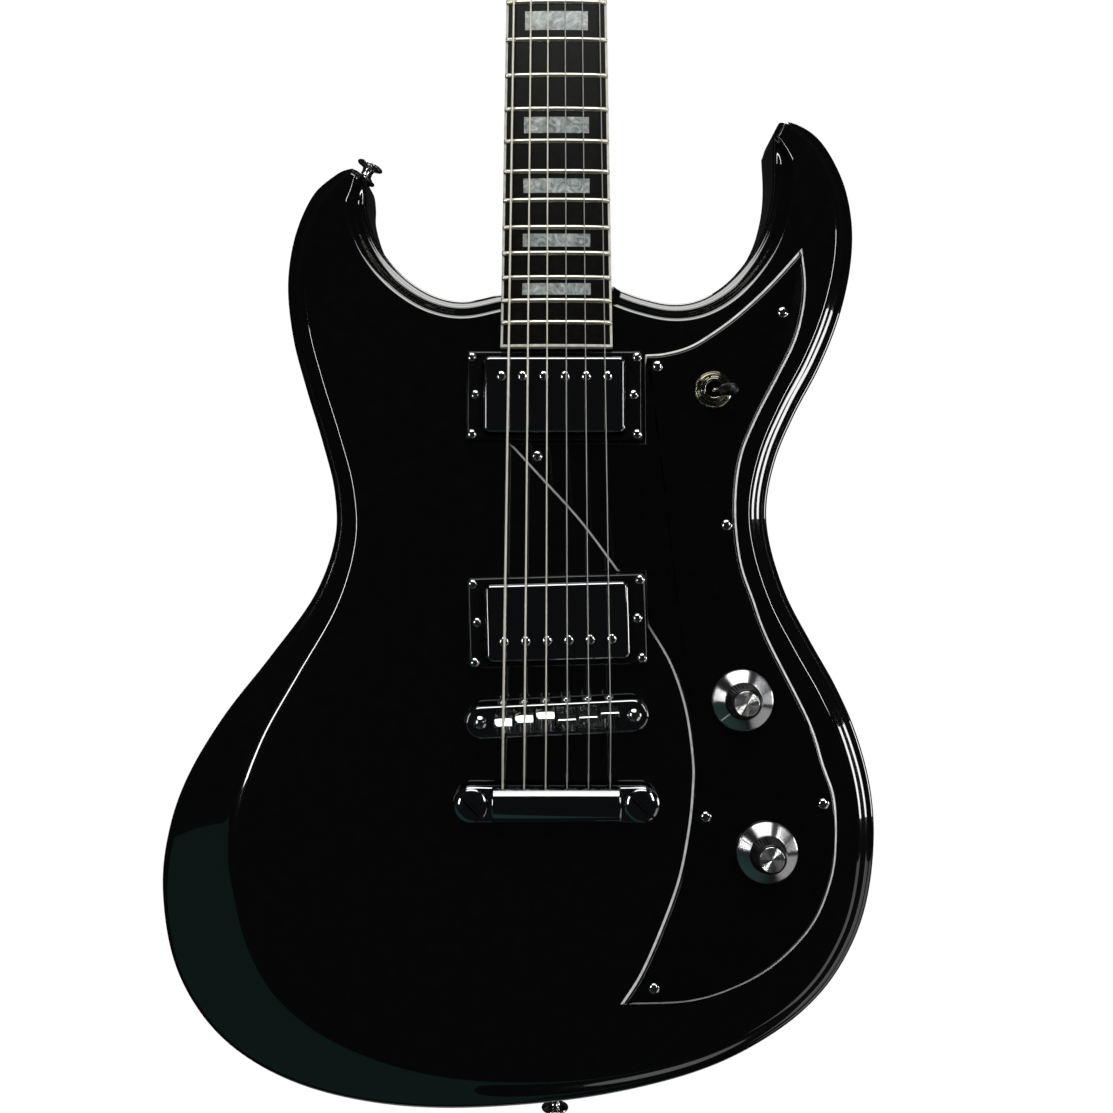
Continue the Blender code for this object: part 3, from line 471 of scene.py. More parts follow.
def plastic(name, colour, roughness):
    made = Finish(name, colour, roughness)
    made.mottle(220.0, 3.0, colour, 0.8, 1.15)
    made.roughness(made.noise(90.0, 4.0), roughness, roughness * 1.3 + 0.01)
    made.bump(made.noise(900.0, 2.0), 0.00001, 0.3)
    return made.material


def dark_wood(name):
    """Ebony: long dark grain with fine open pores."""
    made = Finish(name, (0.02, 0.014, 0.011), 0.4)
    grain = made.noise(38.0, 8.0, (6.0, 6.0, 0.35), 0.5)
    made.colour(grain, ((0.3, (0.0012, 0.0010, 0.0010)), (0.55, (0.0030, 0.0024, 0.0020)),
        (0.8, (0.010, 0.007, 0.005))))
    pores = made.noise(120.0, 3.0, (9.0, 9.0, 0.6))
    made.set("Specular IOR Level", 0.12)
    made.roughness(pores, 0.28, 0.36)
    made.bump(pores, 0.00006, 0.25)
    return made.material


def pearl(name):
    """Pearloid: drifting pale flakes in grey-green."""
    made = Finish(name, (0.62, 0.66, 0.64), 0.22, coat=0.6)
    drift = made.noise(150.0, 6.0, (1, 1, 1.6), 2.2)
    made.colour(drift, ((0.30, (0.17, 0.20, 0.20)), (0.45, (0.33, 0.37, 0.36)), (0.58, (0.48, 0.51, 0.50)),
        (0.74, (0.80, 0.81, 0.79))))
    made.roughness(drift, 0.14, 0.34)
    return made.material


def wound_wire(name, colour, pitch):
    """Wire wrapped in a fine coil: bands across the string."""
    made = Finish(name, colour, 0.34, metallic=0.3)
    wave = made.nodes.new("ShaderNodeTexWave")
    wave.bands_direction = "Y"
    wave.inputs["Scale"].default_value = 0.314 / (pitch * MM)
    wave.inputs["Distortion"].default_value = 0.0
    made.link(made.coordinates, wave.inputs["Vector"])
    made.bump(wave.outputs["Fac"], 0.00004, 0.5)
    made.mottle(40.0, 3.0, colour, 0.85, 1)
    return made.material


BLACK_LACQUER = lacquer("black_lacquer", (0.0016, 0.0016, 0.0018))
NECK_LACQUER = lacquer("neck_lacquer", (0.0022, 0.0020, 0.0020))
EBONY = dark_wood("ebony")
PEARL = pearl("pearloid")
IVORY = plastic("aged_ivory", (0.80, 0.77, 0.68), 0.28)
WHITE_PLY = plastic("white_ply", (0.86, 0.86, 0.84), 0.30)
GUARD_BLACK = plastic("guard_black", (0.0022, 0.0022, 0.0024), 0.05)
RING_BLACK = plastic("ring_black", (0.0035, 0.0035, 0.004), 0.10)
SATIN_BLACK = plastic("satin_black", (0.004, 0.004, 0.0045), 0.30)
BOBBIN_BLACK = plastic("bobbin_black", (0.02, 0.02, 0.02), 0.5)
DARK_CHROME = plated("smoked_chrome", (0.34, 0.34, 0.36), 0.04)
CHROME = plated("bright_chrome", (0.80, 0.80, 0.79), 0.06)
NICKEL = plated("nickel", (0.42, 0.40, 0.33), 0.07)
BUTTON_METAL = plated("button_nickel", (0.66, 0.66, 0.64), 0.13)
FRET_WIRE = plated("fret_wire", (0.82, 0.78, 0.66), 0.30)
STEEL = plated("plain_steel", (0.60, 0.60, 0.60), 0.30)
TURNED = turned_metal("turned_aluminium")
POLISHED = plated("polished_aluminium", (0.80, 0.80, 0.79), 0.16)
PLAIN_STRING = wound_wire("plain_string", (0.50, 0.50, 0.48), 3.0)
WOUND_STRING = wound_wire("wound_string", (0.92, 0.88, 0.76), 0.32)


# ---- Body ----


def inner_radius(outline, normals, i):
    best = 1000.0
    for j, other in enumerate(outline):
        step = other - outline[i]
        depth = 2 * step.dot(normals[i])
        if j != i and depth > 1e-6:
            best = min(best, step.length_squared / depth)
    return best


def body_rings(steps):
    """The carved body as rings: the back's edge, the side, the ledge, then the cove up to the top."""
    outline = spline(BODY_OUTLINE, steps)
    normals = inward(outline)
    arms = [math.exp(-((p - Vector(ARM_CENTRE)).length_squared / ARM_SPREAD**2)) for p in outline]
    rooms = [0.8 * inner_radius(outline, normals, i) for i in range(len(outline))]
    for _ in range(3 * steps):
        rooms = [min(rooms[i], (rooms[i - 1] + rooms[i] + rooms[(i + 1) % len(rooms)]) / 3)
            for i in range(len(rooms))]
    widths = [min(LIP_WIDTH + ARM_WIDTH * arm, room) for arm, room in zip(arms, rooms)]

    def lip(share):
        found = []
        inside = 1 - share
        slope = inside**2 / (2 * ARM_EASE) if inside < ARM_EASE else inside - ARM_EASE / 2
        slope /= 1 - ARM_EASE / 2
        for place, normal, width, arm in zip(outline, normals, widths, arms):
            depth = LIP_DEPTH * min(1.0, width / LIP_WIDTH) + ARM_DEPTH * arm
            flat = min(1.0, 4 * arm)
            rise = max(0.0, share - LIP_LEDGE) / (1 - LIP_LEDGE)
            cove = 0.5 * (1 + math.cos(math.pi * rise))
            near = max(0.0, 1 - share * width / EDGE_RADIUS)
            edge = EDGE_RADIUS * (1 - math.sqrt(1 - near**2))
            point = place + normal * share * width
            found.append((point.x, point.y, -depth * (cove + flat * (slope - cove)) - edge))
        return found

    def side(inset, height):
        return at_height([p + n * min(inset, w) for p, n, w in zip(outline, normals, widths)], height)

    rings = []
    for i in range(9):
        angle = math.pi / 2 * i / 8
        height = -BODY_THICK + BACK_RADIUS * (1 - math.cos(angle))
        rings.append(side(BACK_RADIUS * (1 - math.sin(angle)), height))
    shares = [0.0, 0.004, 0.012, 0.025, 0.045, 0.07, 0.1, 0.14, 0.18, 0.22]
    shares += [0.22 + 0.04 * k for k in range(1, 20)] + [1.0]
    return rings + [lip(share) for share in shares]


def side_matrix(at, heading):
    """Z along a heading in the body's plane, from a place at mid thickness."""
    return step_to(*at, SIDE_HEIGHT) @ turn_about("Z", heading) @ turn_about("Y", 90)


def set_in(matrix, shape):
    """A shape in millimetres seen from another frame."""
    unscaled = matrix.copy()
    unscaled.translation = matrix.translation / MM
    return [unscaled @ point for point in shape[0]], shape[1]


JACK = side_matrix((130.2, -147.6), -46.4)
HORN_BUTTON = side_matrix((-99.6, 260.4), 66.0)
END_BUTTON = side_matrix((-0.8, -201.3), -90.0)
NECK_PICKUP_AT = (-1.0, 146.4, 0.0)
BRIDGE_PICKUP_AT = (0.4, 36.2, 1.6)


def middle_of(node):
    """A node's middle in the body's frame."""
    low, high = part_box(node)
    return BODY.inverted() @ ((low + high) / 2) / MM


def make_body():
    """The lacquered body; its flat faces are shaded flat, so that they mirror cleanly."""
    pocket = prism([(-27.7, -0.3), (27.7, -0.3), (27.7, 80), (-27.7, 80)], -33.3, 12.0)
    cutters = [set_in(BODY.inverted() @ NECK, pocket)]
    holes = []
    for x, y, slant in (NECK_PICKUP_AT, BRIDGE_PICKUP_AT):
        cavity = prism(rounded_rectangle(72.5, 40.6, 4), -26, 5)
        holes.append(moved(cavity, (x, y, 0), turn_about("Z", slant)))
    holes.append(moved(prism(capsule(45, 17.5), -34, 5), (98.0, -38.0, 0), turn_about("Z", -82.0)))
    holes.append(moved(prism(capsule(13.5, 13.5), -34, 5), (77.2, 141.5, 0), turn_about("Z", 90)))
    holes.append(set_in(JACK, rod(11.5, -36, -0.5)))
    holes += [set_in(button, rod(2.2, -24, -1, 16)) for button in (HORN_BUTTON, END_BUTTON)]
    cutters.append(joined(*holes))
    seats = [set_in(JACK, rod(13.2, -1.6, 20, 64))]
    seats += [set_in(button, rod(7.6, -0.2, 12)) for button in (HORN_BUTTON, END_BUTTON)]
    cutters.append(joined(*seats))
    made = piece("body_carved", loft(body_rings(8)), BLACK_LACQUER, BODY, "body", cutters=cutters, sharp=30)
    for face in made.data.polygons:
        if abs(face.normal.z) > FLAT_LIMIT:
            face.use_smooth = False


# ---- Screws ----


def screw_mesh(name, finish, radius, height, drive):
    """A domed screw head with a cross or a slot cut in it, standing on Z = 0."""
    profile = [(radius * 0.96, -0.4), (radius, 0.0)]
    for i in range(1, 7):
        angle = math.pi / 2 * i / 7
        profile.append((radius * math.cos(angle), height * math.sin(angle)))
    profile.append((radius * 0.06, height))
    sizes, foot = (((1.25, 0.30), (0.30, 1.25)), 0.35) if drive == "cross" else (((2.4, 0.26),), 0.45)
    arms = [prism(rounded_rectangle(radius * x, radius * y, 0.1, 2), height * foot, height + 1)
        for x, y in sizes]
    return carved(mesh_of(name, turned(profile, 32), finish), arms)


def wide_slot(length, top, foot, low, high):
    """A cutter for a slot whose walls lean outwards."""
    return loft([at_height(rounded_rectangle(length, foot, 0.05, 1), low),
        at_height(rounded_rectangle(length, top, 0.05, 1), high)])


def set_screws(name, mesh, spots, where, body=ROOT):
    """Copies of one screw at (x, y, z, turn) spots."""
    for k, (x, y, z, turn) in enumerate(spots):
        place_mesh(f"{name}_{k + 1}", mesh, where @ step_to(x, y, z) @ turn_about("Z", turn), body=body)


# ---- Pickguard ----


def make_pickguard():
    """Three plies whose bevelled edge shows the white one."""
    outline = spline(GUARD_OUTLINE, 8)
    normals = inward(outline, 3.0)

    def beside_ring(p):
        """Where the guard's edge is cut square against a pickup ring."""
        upper = (p.x < 43.9 and 122.8 < p.y < 167) or (42 < p.x < 44.2 and 122.8 < p.y < 166.8)
        return upper or (29.8 < p.x < 44.9 and 33.3 < p.y < 61)

    shares = [0.1 if beside_ring(p) else 1.0 for p in outline]

    def plan(inset):
        return [p + n * inset * share for p, n, share in zip(outline, normals, shares)]

    holes = []
    for node, radius in (("volume_knob", 5.0), ("tone_knob", 5.0), ("toggle_switch", 6.0)):
        centre = middle_of(node)
        holes.append(moved(rod(radius, -5, 8), (centre.x, centre.y, 0)))
    cutters = [joined(*holes)]
    plies = (("pickguard_base", GUARD_BLACK, ((0.0, 0.3), (0.0, 0.85), (0.15, 0.95))),
        ("pickguard_white_ply", WHITE_PLY, ((0.15, 0.95), (1.15, 1.75))), ("pickguard_top", GUARD_BLACK,
        ((1.15, 1.75), (1.75, GUARD_TOP - 0.25), (1.95, GUARD_TOP - 0.08), (2.25, GUARD_TOP))))
    for name, finish, steps in plies:
        rings = [at_height(plan(inset), z) for inset, z in steps]
        piece(name, loft(rings), finish, BODY, "pickguard", cutters=cutters)
    screw = screw_mesh("guard_screw", CHROME, 2.7, 1.1, "cross")
    spots = [(x, y, GUARD_TOP - 0.05, 37 * k) for k, (x, y) in enumerate(GUARD_SCREWS)]
    set_screws("guard_screw", screw, spots, BODY)


# ---- Pickups ----


def make_pickup(name, at, ring_top, cover_top, pole_y):
    """A plastic ring, a plated cover with a soft rolled edge and six screw poles."""
    x, y, slant = at
    where = BODY @ step_to(x, y, 0) @ turn_about("Z", slant)
    body = f"{name}_pickup"
    outer = rectangle_plan(87.4, 45.1, 2.2)
    window = rectangle_plan(70.3, 38.3, 3.6)
    rings = [at_height(outer(0), 0.3), at_height(outer(0.1), 1.2), at_height(outer(0.75), ring_top - 0.9)]
    rings += [at_height(outer(0.75 + 0.9 * (1 - math.cos(a))), ring_top - 0.9 * (1 - math.sin(a)))
        for a in (0.4, 0.8, 1.2, math.pi / 2)]
    rings += [at_height(window(-0.5), ring_top), at_height(window(-0.15), ring_top - 0.12),
        at_height(window(0), ring_top - 0.5), at_height(window(0), 0.3)]
    piece(f"{name}_ring", loft(rings, closed=True), RING_BLACK, where, f"{name}_pickup_ring")

    shell = block(rectangle_plan(69.2, 37.2, 3.2), cover_top - 17, cover_top, crown=1.7, steps=7)
    inside = block(rectangle_plan(68.0, 36.0, 2.6), cover_top - 20, cover_top - 0.7, crown=1.2)
    holes = [moved(rod(2.75, cover_top - 5, cover_top + 5, 40), ((k - 2.5) * POLE_PITCH, pole_y, 0))
        for k in range(6)]
    piece(f"{name}_cover", shell, DARK_CHROME, where, f"{name}_pickup_cover", body,
        cutters=[inside, joined(*holes)], sharp=40)

    low = cover_top - 17
    base = block(rectangle_plan(65.0, 33.0, 2.0), low - 1.6, low + 0.6, crown=0.3)
    bobbins = [moved(block(rectangle_plan(64.0, 15.4, 5.0), low + 0.4, cover_top - 2.6, crown=0.6),
        (0, side, 0)) for side in (-8.9, 8.9)]
    piece(f"{name}_coils", joined(base, *bobbins), BOBBIN_BLACK, where, f"{name}_pickup_coils", body)
    pole = screw_mesh(f"{name}_pole", CHROME, 2.35, 0.75, "slot")
    spots = [((k - 2.5) * POLE_PITCH, pole_y, cover_top - 0.25, 90 + 25 * math.sin(3.1 * k))
        for k in range(6)]
    set_screws(f"{name}_pole", pole, spots, where, body)
    corner = screw_mesh(f"{name}_ring_screw", CHROME, 2.3, 1.0, "cross")
    spots = [(sx * 40.6, sy * 18.9, ring_top - 0.1, 20 + 31 * sx + 17 * sy) for sx in (-1, 1) for sy in (-1,
        1)]
    set_screws(f"{name}_ring_screw", corner, spots, where)
    spots = [(side * 38.9, 0.4, ring_top - 0.1, 40 + 30 * side) for side in (-1, 1)]
    set_screws(f"{name}_height_screw", corner, spots, where)


# ---- Bridge and tailpiece ----


def make_bridge():
    half = 44.1 - 7.9
    shape = block(lambda inset: capsule(half, 7.9 - inset), 5.6, BRIDGE_TOP, crown=1.6, foot=0.8, steps=6)
    channel = prism(rounded_rectangle(59.0, 12.0, 0.8, 3), 8.0, 25)
    ends = [moved(rod(3.9, BRIDGE_TOP - 1.1, 25, 48), (side * POST_X, 0, 0)) for side in (-1, 1)]
    bores = [moved(rod(3.3, 0, 25, 48), (side * POST_X, 0, 0)) for side in (-1, 1)]
    piece("bridge_casting", shape, DARK_CHROME, BRIDGE, "bridge_body", cutters=[joined(channel, *ends),
        joined(*bores)], sharp=40)
    thread = [(1.25 if k % 2 else 0.95, k * 14.8 / THREAD_ROWS) for k in range(THREAD_ROWS + 1)]
    screw = turned(thread + [(1.0, 15.0), (2.0, 15.1), (2.15, 15.4), (2.15, 16.2), (1.8, 16.9),
        (0.3, 17.1)], 20)
    for name, _, x_saddle, *_ in STRINGS:
        laid = moved(screw, (x_saddle - BRIDGE_CENTRE[0], -7.3, ROD_HEIGHT), turn_about("X", -90))
        piece(f"intonation_screw_{name}", laid, CHROME, BRIDGE, "bridge_body")
    ridges = []
    for k in range(40):
        ridges += [(-29.3 + 1.465 * k, 8.35), (-29.3 + 1.465 * (k + 0.5), 7.9)]
    outline = [(-29.4, 7.5), *ridges, (29.4, 7.5)]
    floor = loft([[(x, y, z) for x, z in outline] for y in (-5.9, 5.9)])
    piece("bridge_channel_floor", floor, CHROME, BRIDGE, "bridge_body", sharp=10)
    make_saddles()
    for side, name in ((-1, "bass"), (1, "treble")):
        profile = [(3.0, -20), (3.0, 1.6), (6.6, 1.6), (6.6, 4.2), (3.0, 4.2), (3.0, BRIDGE_TOP - 1.0),
            (3.2, BRIDGE_TOP - 0.9), (3.2, BRIDGE_TOP + 0.1)]
        profile = rounded(profile, 0.3) + [(r, BRIDGE_TOP + 0.2 + 1.1 * (1 - (r / 3.2) ** 2)) for r in (2.9,
            2.5, 2.0, 1.5, 1.0, 0.5, 0.1)]
        slot = moved(wide_slot(8, 1.3, 0.9, BRIDGE_TOP + 0.2, BRIDGE_TOP + 1.6), turn=turn_about("Z", 32))
        where = BRIDGE @ step_to(side * POST_X, 0, 0)
        piece(f"bridge_post_{name}_turned", turned(profile), CHROME, where, f"bridge_post_{name}",
            cutters=[slot])
        bush = turned(rounded([(3.2, 0.05), (5.6, 0.05), (5.6, 0.9), (4.9, 1.2), (3.2, 1.2)], 0.3),
            closed=True)
        piece(f"bridge_bush_{name}", bush, DARK_CHROME, where)


def make_saddles():
    """Saddles with one upright face: three slope up to it from the neck, three from the tail."""
    width = SADDLE_WIDTH / 2
    for name, radius, x_saddle, _, crest, _ in STRINGS:
        peak = STRING_HEIGHT - radius
        if x_saddle < 0:
            outline = [(-2.8, 8.45), (2.8, 8.45), (2.8, 14.2), (-0.3, peak - 0.9), (-1.9, peak - 0.1),
                (-2.2, peak), (-2.6, peak - 0.2), (-2.8, peak - 1.2)]
        else:
            outline = [(2.8, 8.45), (-2.8, 8.45), (-2.8, 14.6), (-1.9, peak - 1.6), (-0.2, peak - 0.05),
                (0.1, peak), (0.5, peak - 0.2), (1.0, 14.0), (2.8, 14.0)]
        rings = []
        for x, shrink in ((-width, 0.94), (-width + 0.35, 1.0), (width - 0.35, 1.0), (width, 0.94)):
            rings.append([(x, y * shrink, 12.0 + (z - 12.0) * (shrink * 0.5 + 0.5)) for y, z in outline])
        where = BRIDGE @ step_to(x_saddle - BRIDGE_CENTRE[0], crest, 0)
        groove = moved(rod(radius, -8, 8, 24), (0, 0, STRING_HEIGHT), turn_about("X", 90))
        bore = moved(rod(1.6, -8, 8, 24), (0, 0, ROD_HEIGHT), turn_about("X", 90))
        piece(f"saddle_{name}_cut", loft(rings), CHROME, where, f"saddle_{name}", f"saddle_{name}",
            cutters=[joined(groove, bore)], sharp=25)


def make_tailpiece():
    where = BODY @ step_to(*TAIL_CENTRE, 0)
    lugs = block(lambda inset: capsule(STUD_X, 9.1 - inset), 4.0, 9.4, crown=1.8, foot=0.8, steps=6)
    arch = []
    for i in range(33):
        angle = math.pi * i / 32
        arch.append((9.1 * math.cos(angle), 6.0 + 7.5 * math.sin(angle) ** 0.8))
    arch += [(-9.1, 4.2), (-8.4, 3.5), (8.4, 3.5), (9.1, 4.2)]
    rings = []
    for x, shrink in ((-31.2, 0.93), (-30.9, 0.97), (-30.2, 1.0), (30.2, 1.0), (30.9, 0.97), (31.2, 0.93)):
        rings.append([(x, y * shrink, 8 + (z - 8) * shrink) for y, z in arch])
    holes = [moved(rod(1.5, -1, 15, 24), (string[2] * TAIL_SPREAD - TAIL_CENTRE[0], 0, 9.0),
        turn_about("X", -90)) for string in STRINGS]
    bores = [moved(rod(4.2, 0, 20, 40), (side * STUD_X, 0, 0)) for side in (-1, 1)]
    mesh = carved(mesh_of("tail_casting", lugs, DARK_CHROME), [loft(rings)], 35, "UNION")
    mesh = carved(mesh, [joined(*holes, *bores)], 35)
    place_mesh("tail_casting", mesh, where, "tailpiece")
    for side, name in ((-1, "bass"), (1, "treble")):
        profile = rounded([(3.7, -22), (3.7, 1.4), (6.4, 1.4), (6.4, 3.6), (3.7, 3.6), (3.7, 9.8),
            (8.1, 9.8), (8.2, 11.4)], 0.3)
        profile += [(r, 11.6 + 1.5 * (1 - (r / 8.2) ** 3)) for r in (8.0, 7.6, 7.0, 6.2, 5.2, 4.0, 2.6, 1.2,
            0.1)]
        slot = moved(wide_slot(18, 2.6, 1.2, 11.7, 13.3), turn=turn_about("Z", -44))
        at = BODY @ step_to(TAIL_CENTRE[0] + side * STUD_X, TAIL_CENTRE[1], 0)
        piece(f"tail_stud_{name}_turned", turned(profile), DARK_CHROME, at, f"tail_stud_{name}",
            cutters=[slot])
        bush = turned(rounded([(3.9, 0.05), (7.2, 0.05), (7.2, 0.9), (6.4, 1.2), (3.9, 1.2)], 0.3),
            closed=True)
        piece(f"tail_bush_{name}", bush, DARK_CHROME, at)


# ---- Neck ----


def board_width(y):
    return BOARD_WIDTH_END + (BOARD_WIDTH_NUT - BOARD_WIDTH_END) * y / NECK_RUN


def fret_y(fret):
    from_bridge = SCALE_LENGTH * 2 ** (-fret / 12)
    return (from_bridge - BOARD_END_Y) / math.cos(math.radians(NECK_TILT))


def crown(x):
    return -x * x / (2 * BOARD_RADIUS)


def make_board():
    binding = 1.2
    shares = [-1 + k / 8 for k in range(17)]

    def section(y, inset=binding):
        half = board_width(y) / 2 - inset
        top = [(share * half, y, crown(share * half)) for share in shares]
        return [(-half, y, -BOARD_THICK)] + top + [(half, y, -BOARD_THICK)]

    ends = (binding, NECK_RUN - 0.3)
    piece("fingerboard_wood", loft([section(y) for y in ends]), EBONY, NECK, "fingerboard", sharp=25)
    strips = []
    for side in (-1, 1):
        rings = []
        for y in (0, NECK_RUN - 0.3):
            half = board_width(y) / 2
            outer, inner, top = side * half, side * (half - binding + 0.02), crown(half)
            section_xz = [(outer, -BOARD_THICK), (outer, top - 0.35), (outer - side * 0.1, top - 0.1),
                (outer - side * 0.35, top + 0.01), (inner, top + 0.01), (inner, -BOARD_THICK)]
            rings.append([(x, y, z) for x, z in section_xz])
        strips.append(loft(rings))
    end_half = board_width(0) / 2 - 0.02
    top = [(share * end_half, crown(share * end_half) + 0.01) for share in shares]
    edge = [(-end_half, -BOARD_THICK)] + top + [(end_half, -BOARD_THICK)]
    strips.append(loft([[(x, y, z) for x, z in edge] for y in (0.01, binding - 0.02)]))
    piece("fingerboard_binding", joined(*strips), IVORY, NECK, "fingerboard")

    wires = []
    for fret in range(1, FRET_COUNT + 1):
        y = fret_y(fret)
        half = board_width(y) / 2
        rings = []
        sizes = [(-half, 0.45), (-half + 0.25, 0.85), (-half + 0.6, 1.0)]
        sizes += [(half * s, 1.0) for s in (-0.7, -0.35, 0, 0.35, 0.7)]
        sizes += [(half - 0.6, 1.0), (half - 0.25, 0.85), (half, 0.45)]
        for x, size in sizes:
            arc = [(x, y + 1.2 * size * math.cos(a), crown(x) - 0.02 + 1.0 * size * math.sin(a))
                for a in (math.pi * k / 8 for k in range(9))]
            rings.append(arc)
        wires.append(loft(rings))
    piece("fret_wires", joined(*wires), FRET_WIRE, NECK, "fingerboard", sharp=50)

    slabs = []
    for fret in INLAY_FRETS:
        low, high = fret_y(fret), fret_y(fret - 1) if fret > 1 else NECK_RUN - 0.3
        middle, space = (low + high) / 2, high - low
        half = 0.31 * board_width(middle)
        rings = []
        for y in (middle - 0.25 * space, middle + 0.25 * space):
            rings.append([(share * half, y, crown(share * half) + 0.02) for share in shares]
                + [(half, y, -1.5), (-half, y, -1.5)])
        slabs.append(loft(rings))
    piece("pearl_inlays", joined(*slabs), PEARL, NECK, "fingerboard")
    dots = []
    for fret in (3, 5, 7, 9, 12, 15, 17, 19, 21):
        y = (fret_y(fret) + fret_y(fret - 1)) / 2
        for shift in ((-2.5, 2.5) if fret == 12 else (0,)):
            dot = turned([(0.9, -0.3), (0.9, 0.03), (0.7, 0.05)], 20)
            dots.append(moved(dot, (-board_width(y) / 2, y + shift, -3.0), turn_about("Y", -90)))
    piece("side_dots", joined(*dots), SATIN_BLACK, NECK, "fingerboard")


def neck_section(y, top, depth, power, half, steps=40):
    flat = 2.0
    section = []
    for i in range(steps + 1):
        angle = math.pi * i / steps
        across = math.copysign(abs(math.cos(angle)) ** (2 / power), math.cos(angle))
        down = math.sin(angle) ** (2 / power) if i not in (0, steps) else 0.0
        section.append((half * across, y, top - flat - (depth + top - flat) * down))
    return [(half, y, top)] + section + [(-half, y, top)]


NECK_STATIONS = ((0.0, 33.0, 12), (30.0, 33.0, 12), (37.0, 31.0, 6), (46.0, 27.0, 3.6), (60.0, 24.0, 2.6),
    (NECK_RUN * 0.55, 22.6, 2.3), (NECK_RUN - 12, 21.0, 2.3), (NECK_RUN + 2, 22.0, 2.4))


def smooth_step(stations, y):
    """Values between stations, eased so that the back of the neck has no kinks."""
    for (y0, *low), (y1, *high) in zip(stations, stations[1:]):
        if y <= y1:
            t = (y - y0) / (y1 - y0)
            t = t * t * (3 - 2 * t) if y0 < 60 else t
            return [a + (b - a) * t for a, b in zip(low, high)]
    return list(stations[-1][1:])


def make_neck():
    rings = []
    places = [0.0, 15.0] + [30.0 + 1.5 * k for k in range(21)]
    places += [61 + (NECK_RUN - 59) * k / 24 for k in range(1, 25)]
    for y in places:
        depth, power = smooth_step(NECK_STATIONS, y)
        rings.append(neck_section(y, NECK_TOP, depth, power, board_width(min(y, NECK_RUN)) / 2))
    head_y = NECK_RUN + NUT_LENGTH + 0.2
    half = BOARD_WIDTH_NUT / 2
    rings.append(neck_section(head_y, NECK_TOP, 22.5, 2.6, half))
    rings.append(neck_section(head_y + 14, NECK_TOP - 4.2, 22.5, 3.0, half - 2))

    right = spline(HEAD_HALF, 8, closed=False)
    crest = []
    for k in range(1, 12):
        angle = math.pi / 2 * k / 12
        crest.append(Vector((24.0 * math.cos(angle), 180.0 + (HEAD_LENGTH - 180.0) * math.sin(angle))))
    outline = right + crest + [Vector((0, HEAD_LENGTH))]
    outline += [Vector((-p.x, p.y)) for p in reversed(right + crest)]
    normals = inward(outline)

    def plan(inset):
        return [p + n * inset for p, n in zip(outline, normals)]

    slab = block(plan, -HEAD_THICK, 0, crown=1.2, foot=1.2, steps=4)
    to_neck = NECK.inverted() @ HEAD
    mesh = carved(mesh_of("neck_shaft", loft(rings), NECK_LACQUER), [set_in(to_neck, slab)], 30, "UNION")
    channel = prism([(-3.4, 44), (3.4, 44), (3.4, NECK_RUN + 9), (-3.4, NECK_RUN + 9)], -17.0, 2.0)
    holes = [moved(rod(5.3, -30, 30, 32), (side * x, y, 0)) for side in (-1, 1) for x, y in zip(TUNER_X,
        TUNER_Y)]
    access = moved(prism(rounded_rectangle(12.0, 30.0, 5), -9.5, 5), (0, 17.0, 0))
    mesh = carved(mesh, [channel, set_in(to_neck, joined(*holes, access))], 30)
    place_mesh("neck_shaft", mesh, NECK, "neck")


def make_neck_hardware():
    def plan(inset):
        return rounded_rectangle(BOARD_WIDTH_NUT - 2 * inset, NUT_LENGTH - 2 * inset, 0.6 - 0.4 * inset, 3)

    slots = []
    for _, radius, _, x_nut, _, _ in STRINGS:
        slots.append(moved(rod(radius, -9, 9, 20), (x_nut, 0, NUT_SLOT), turn_about("X", 90)))
        slots.append(moved(prism(rounded_rectangle(2 * radius, 18, 0.05, 1), NUT_SLOT, 6), (x_nut, 0, 0)))
    shape = block(plan, NECK_TOP + 0.3, 2.1, crown=0.5)
    mesh = mesh_of("nut_cut", shape, IVORY)
    for slot in slots:
        mesh = carved(mesh, [slot], 30)
    place_mesh("nut_cut", mesh, NECK @ step_to(0, NECK_RUN + NUT_LENGTH / 2, 0), "nut")

    bell = spline([(-12, 2.5, 1), (12, 2.5, 1), (12, 12), (11.4, 24), (8, 34), (3.2, 41, 1), (-3.2, 41, 1),
        (-8, 34), (-11.4, 24), (-12, 12)], 8)
    normals = inward(bell, 1.5)
    rings = [at_height([p + n * i for p, n in zip(bell, normals)], z) for i, z in ((0, 0.3), (0, 0.9),
        (0.7, 1.6), (0.8, 1.65), (1.4, 2.45), (1.7, 2.6))]
    piece("rod_cover", loft(rings), GUARD_BLACK, HEAD, "truss_rod_cover")
    screw = screw_mesh("rod_cover_screw", CHROME, 2.0, 0.8, "cross")
    set_screws("rod_cover_screw", screw, [(-8.5, 6.5, 2.55, 10), (8.5, 6.5, 2.55, 70), (0, 36.5, 2.55, 40)],
        HEAD)


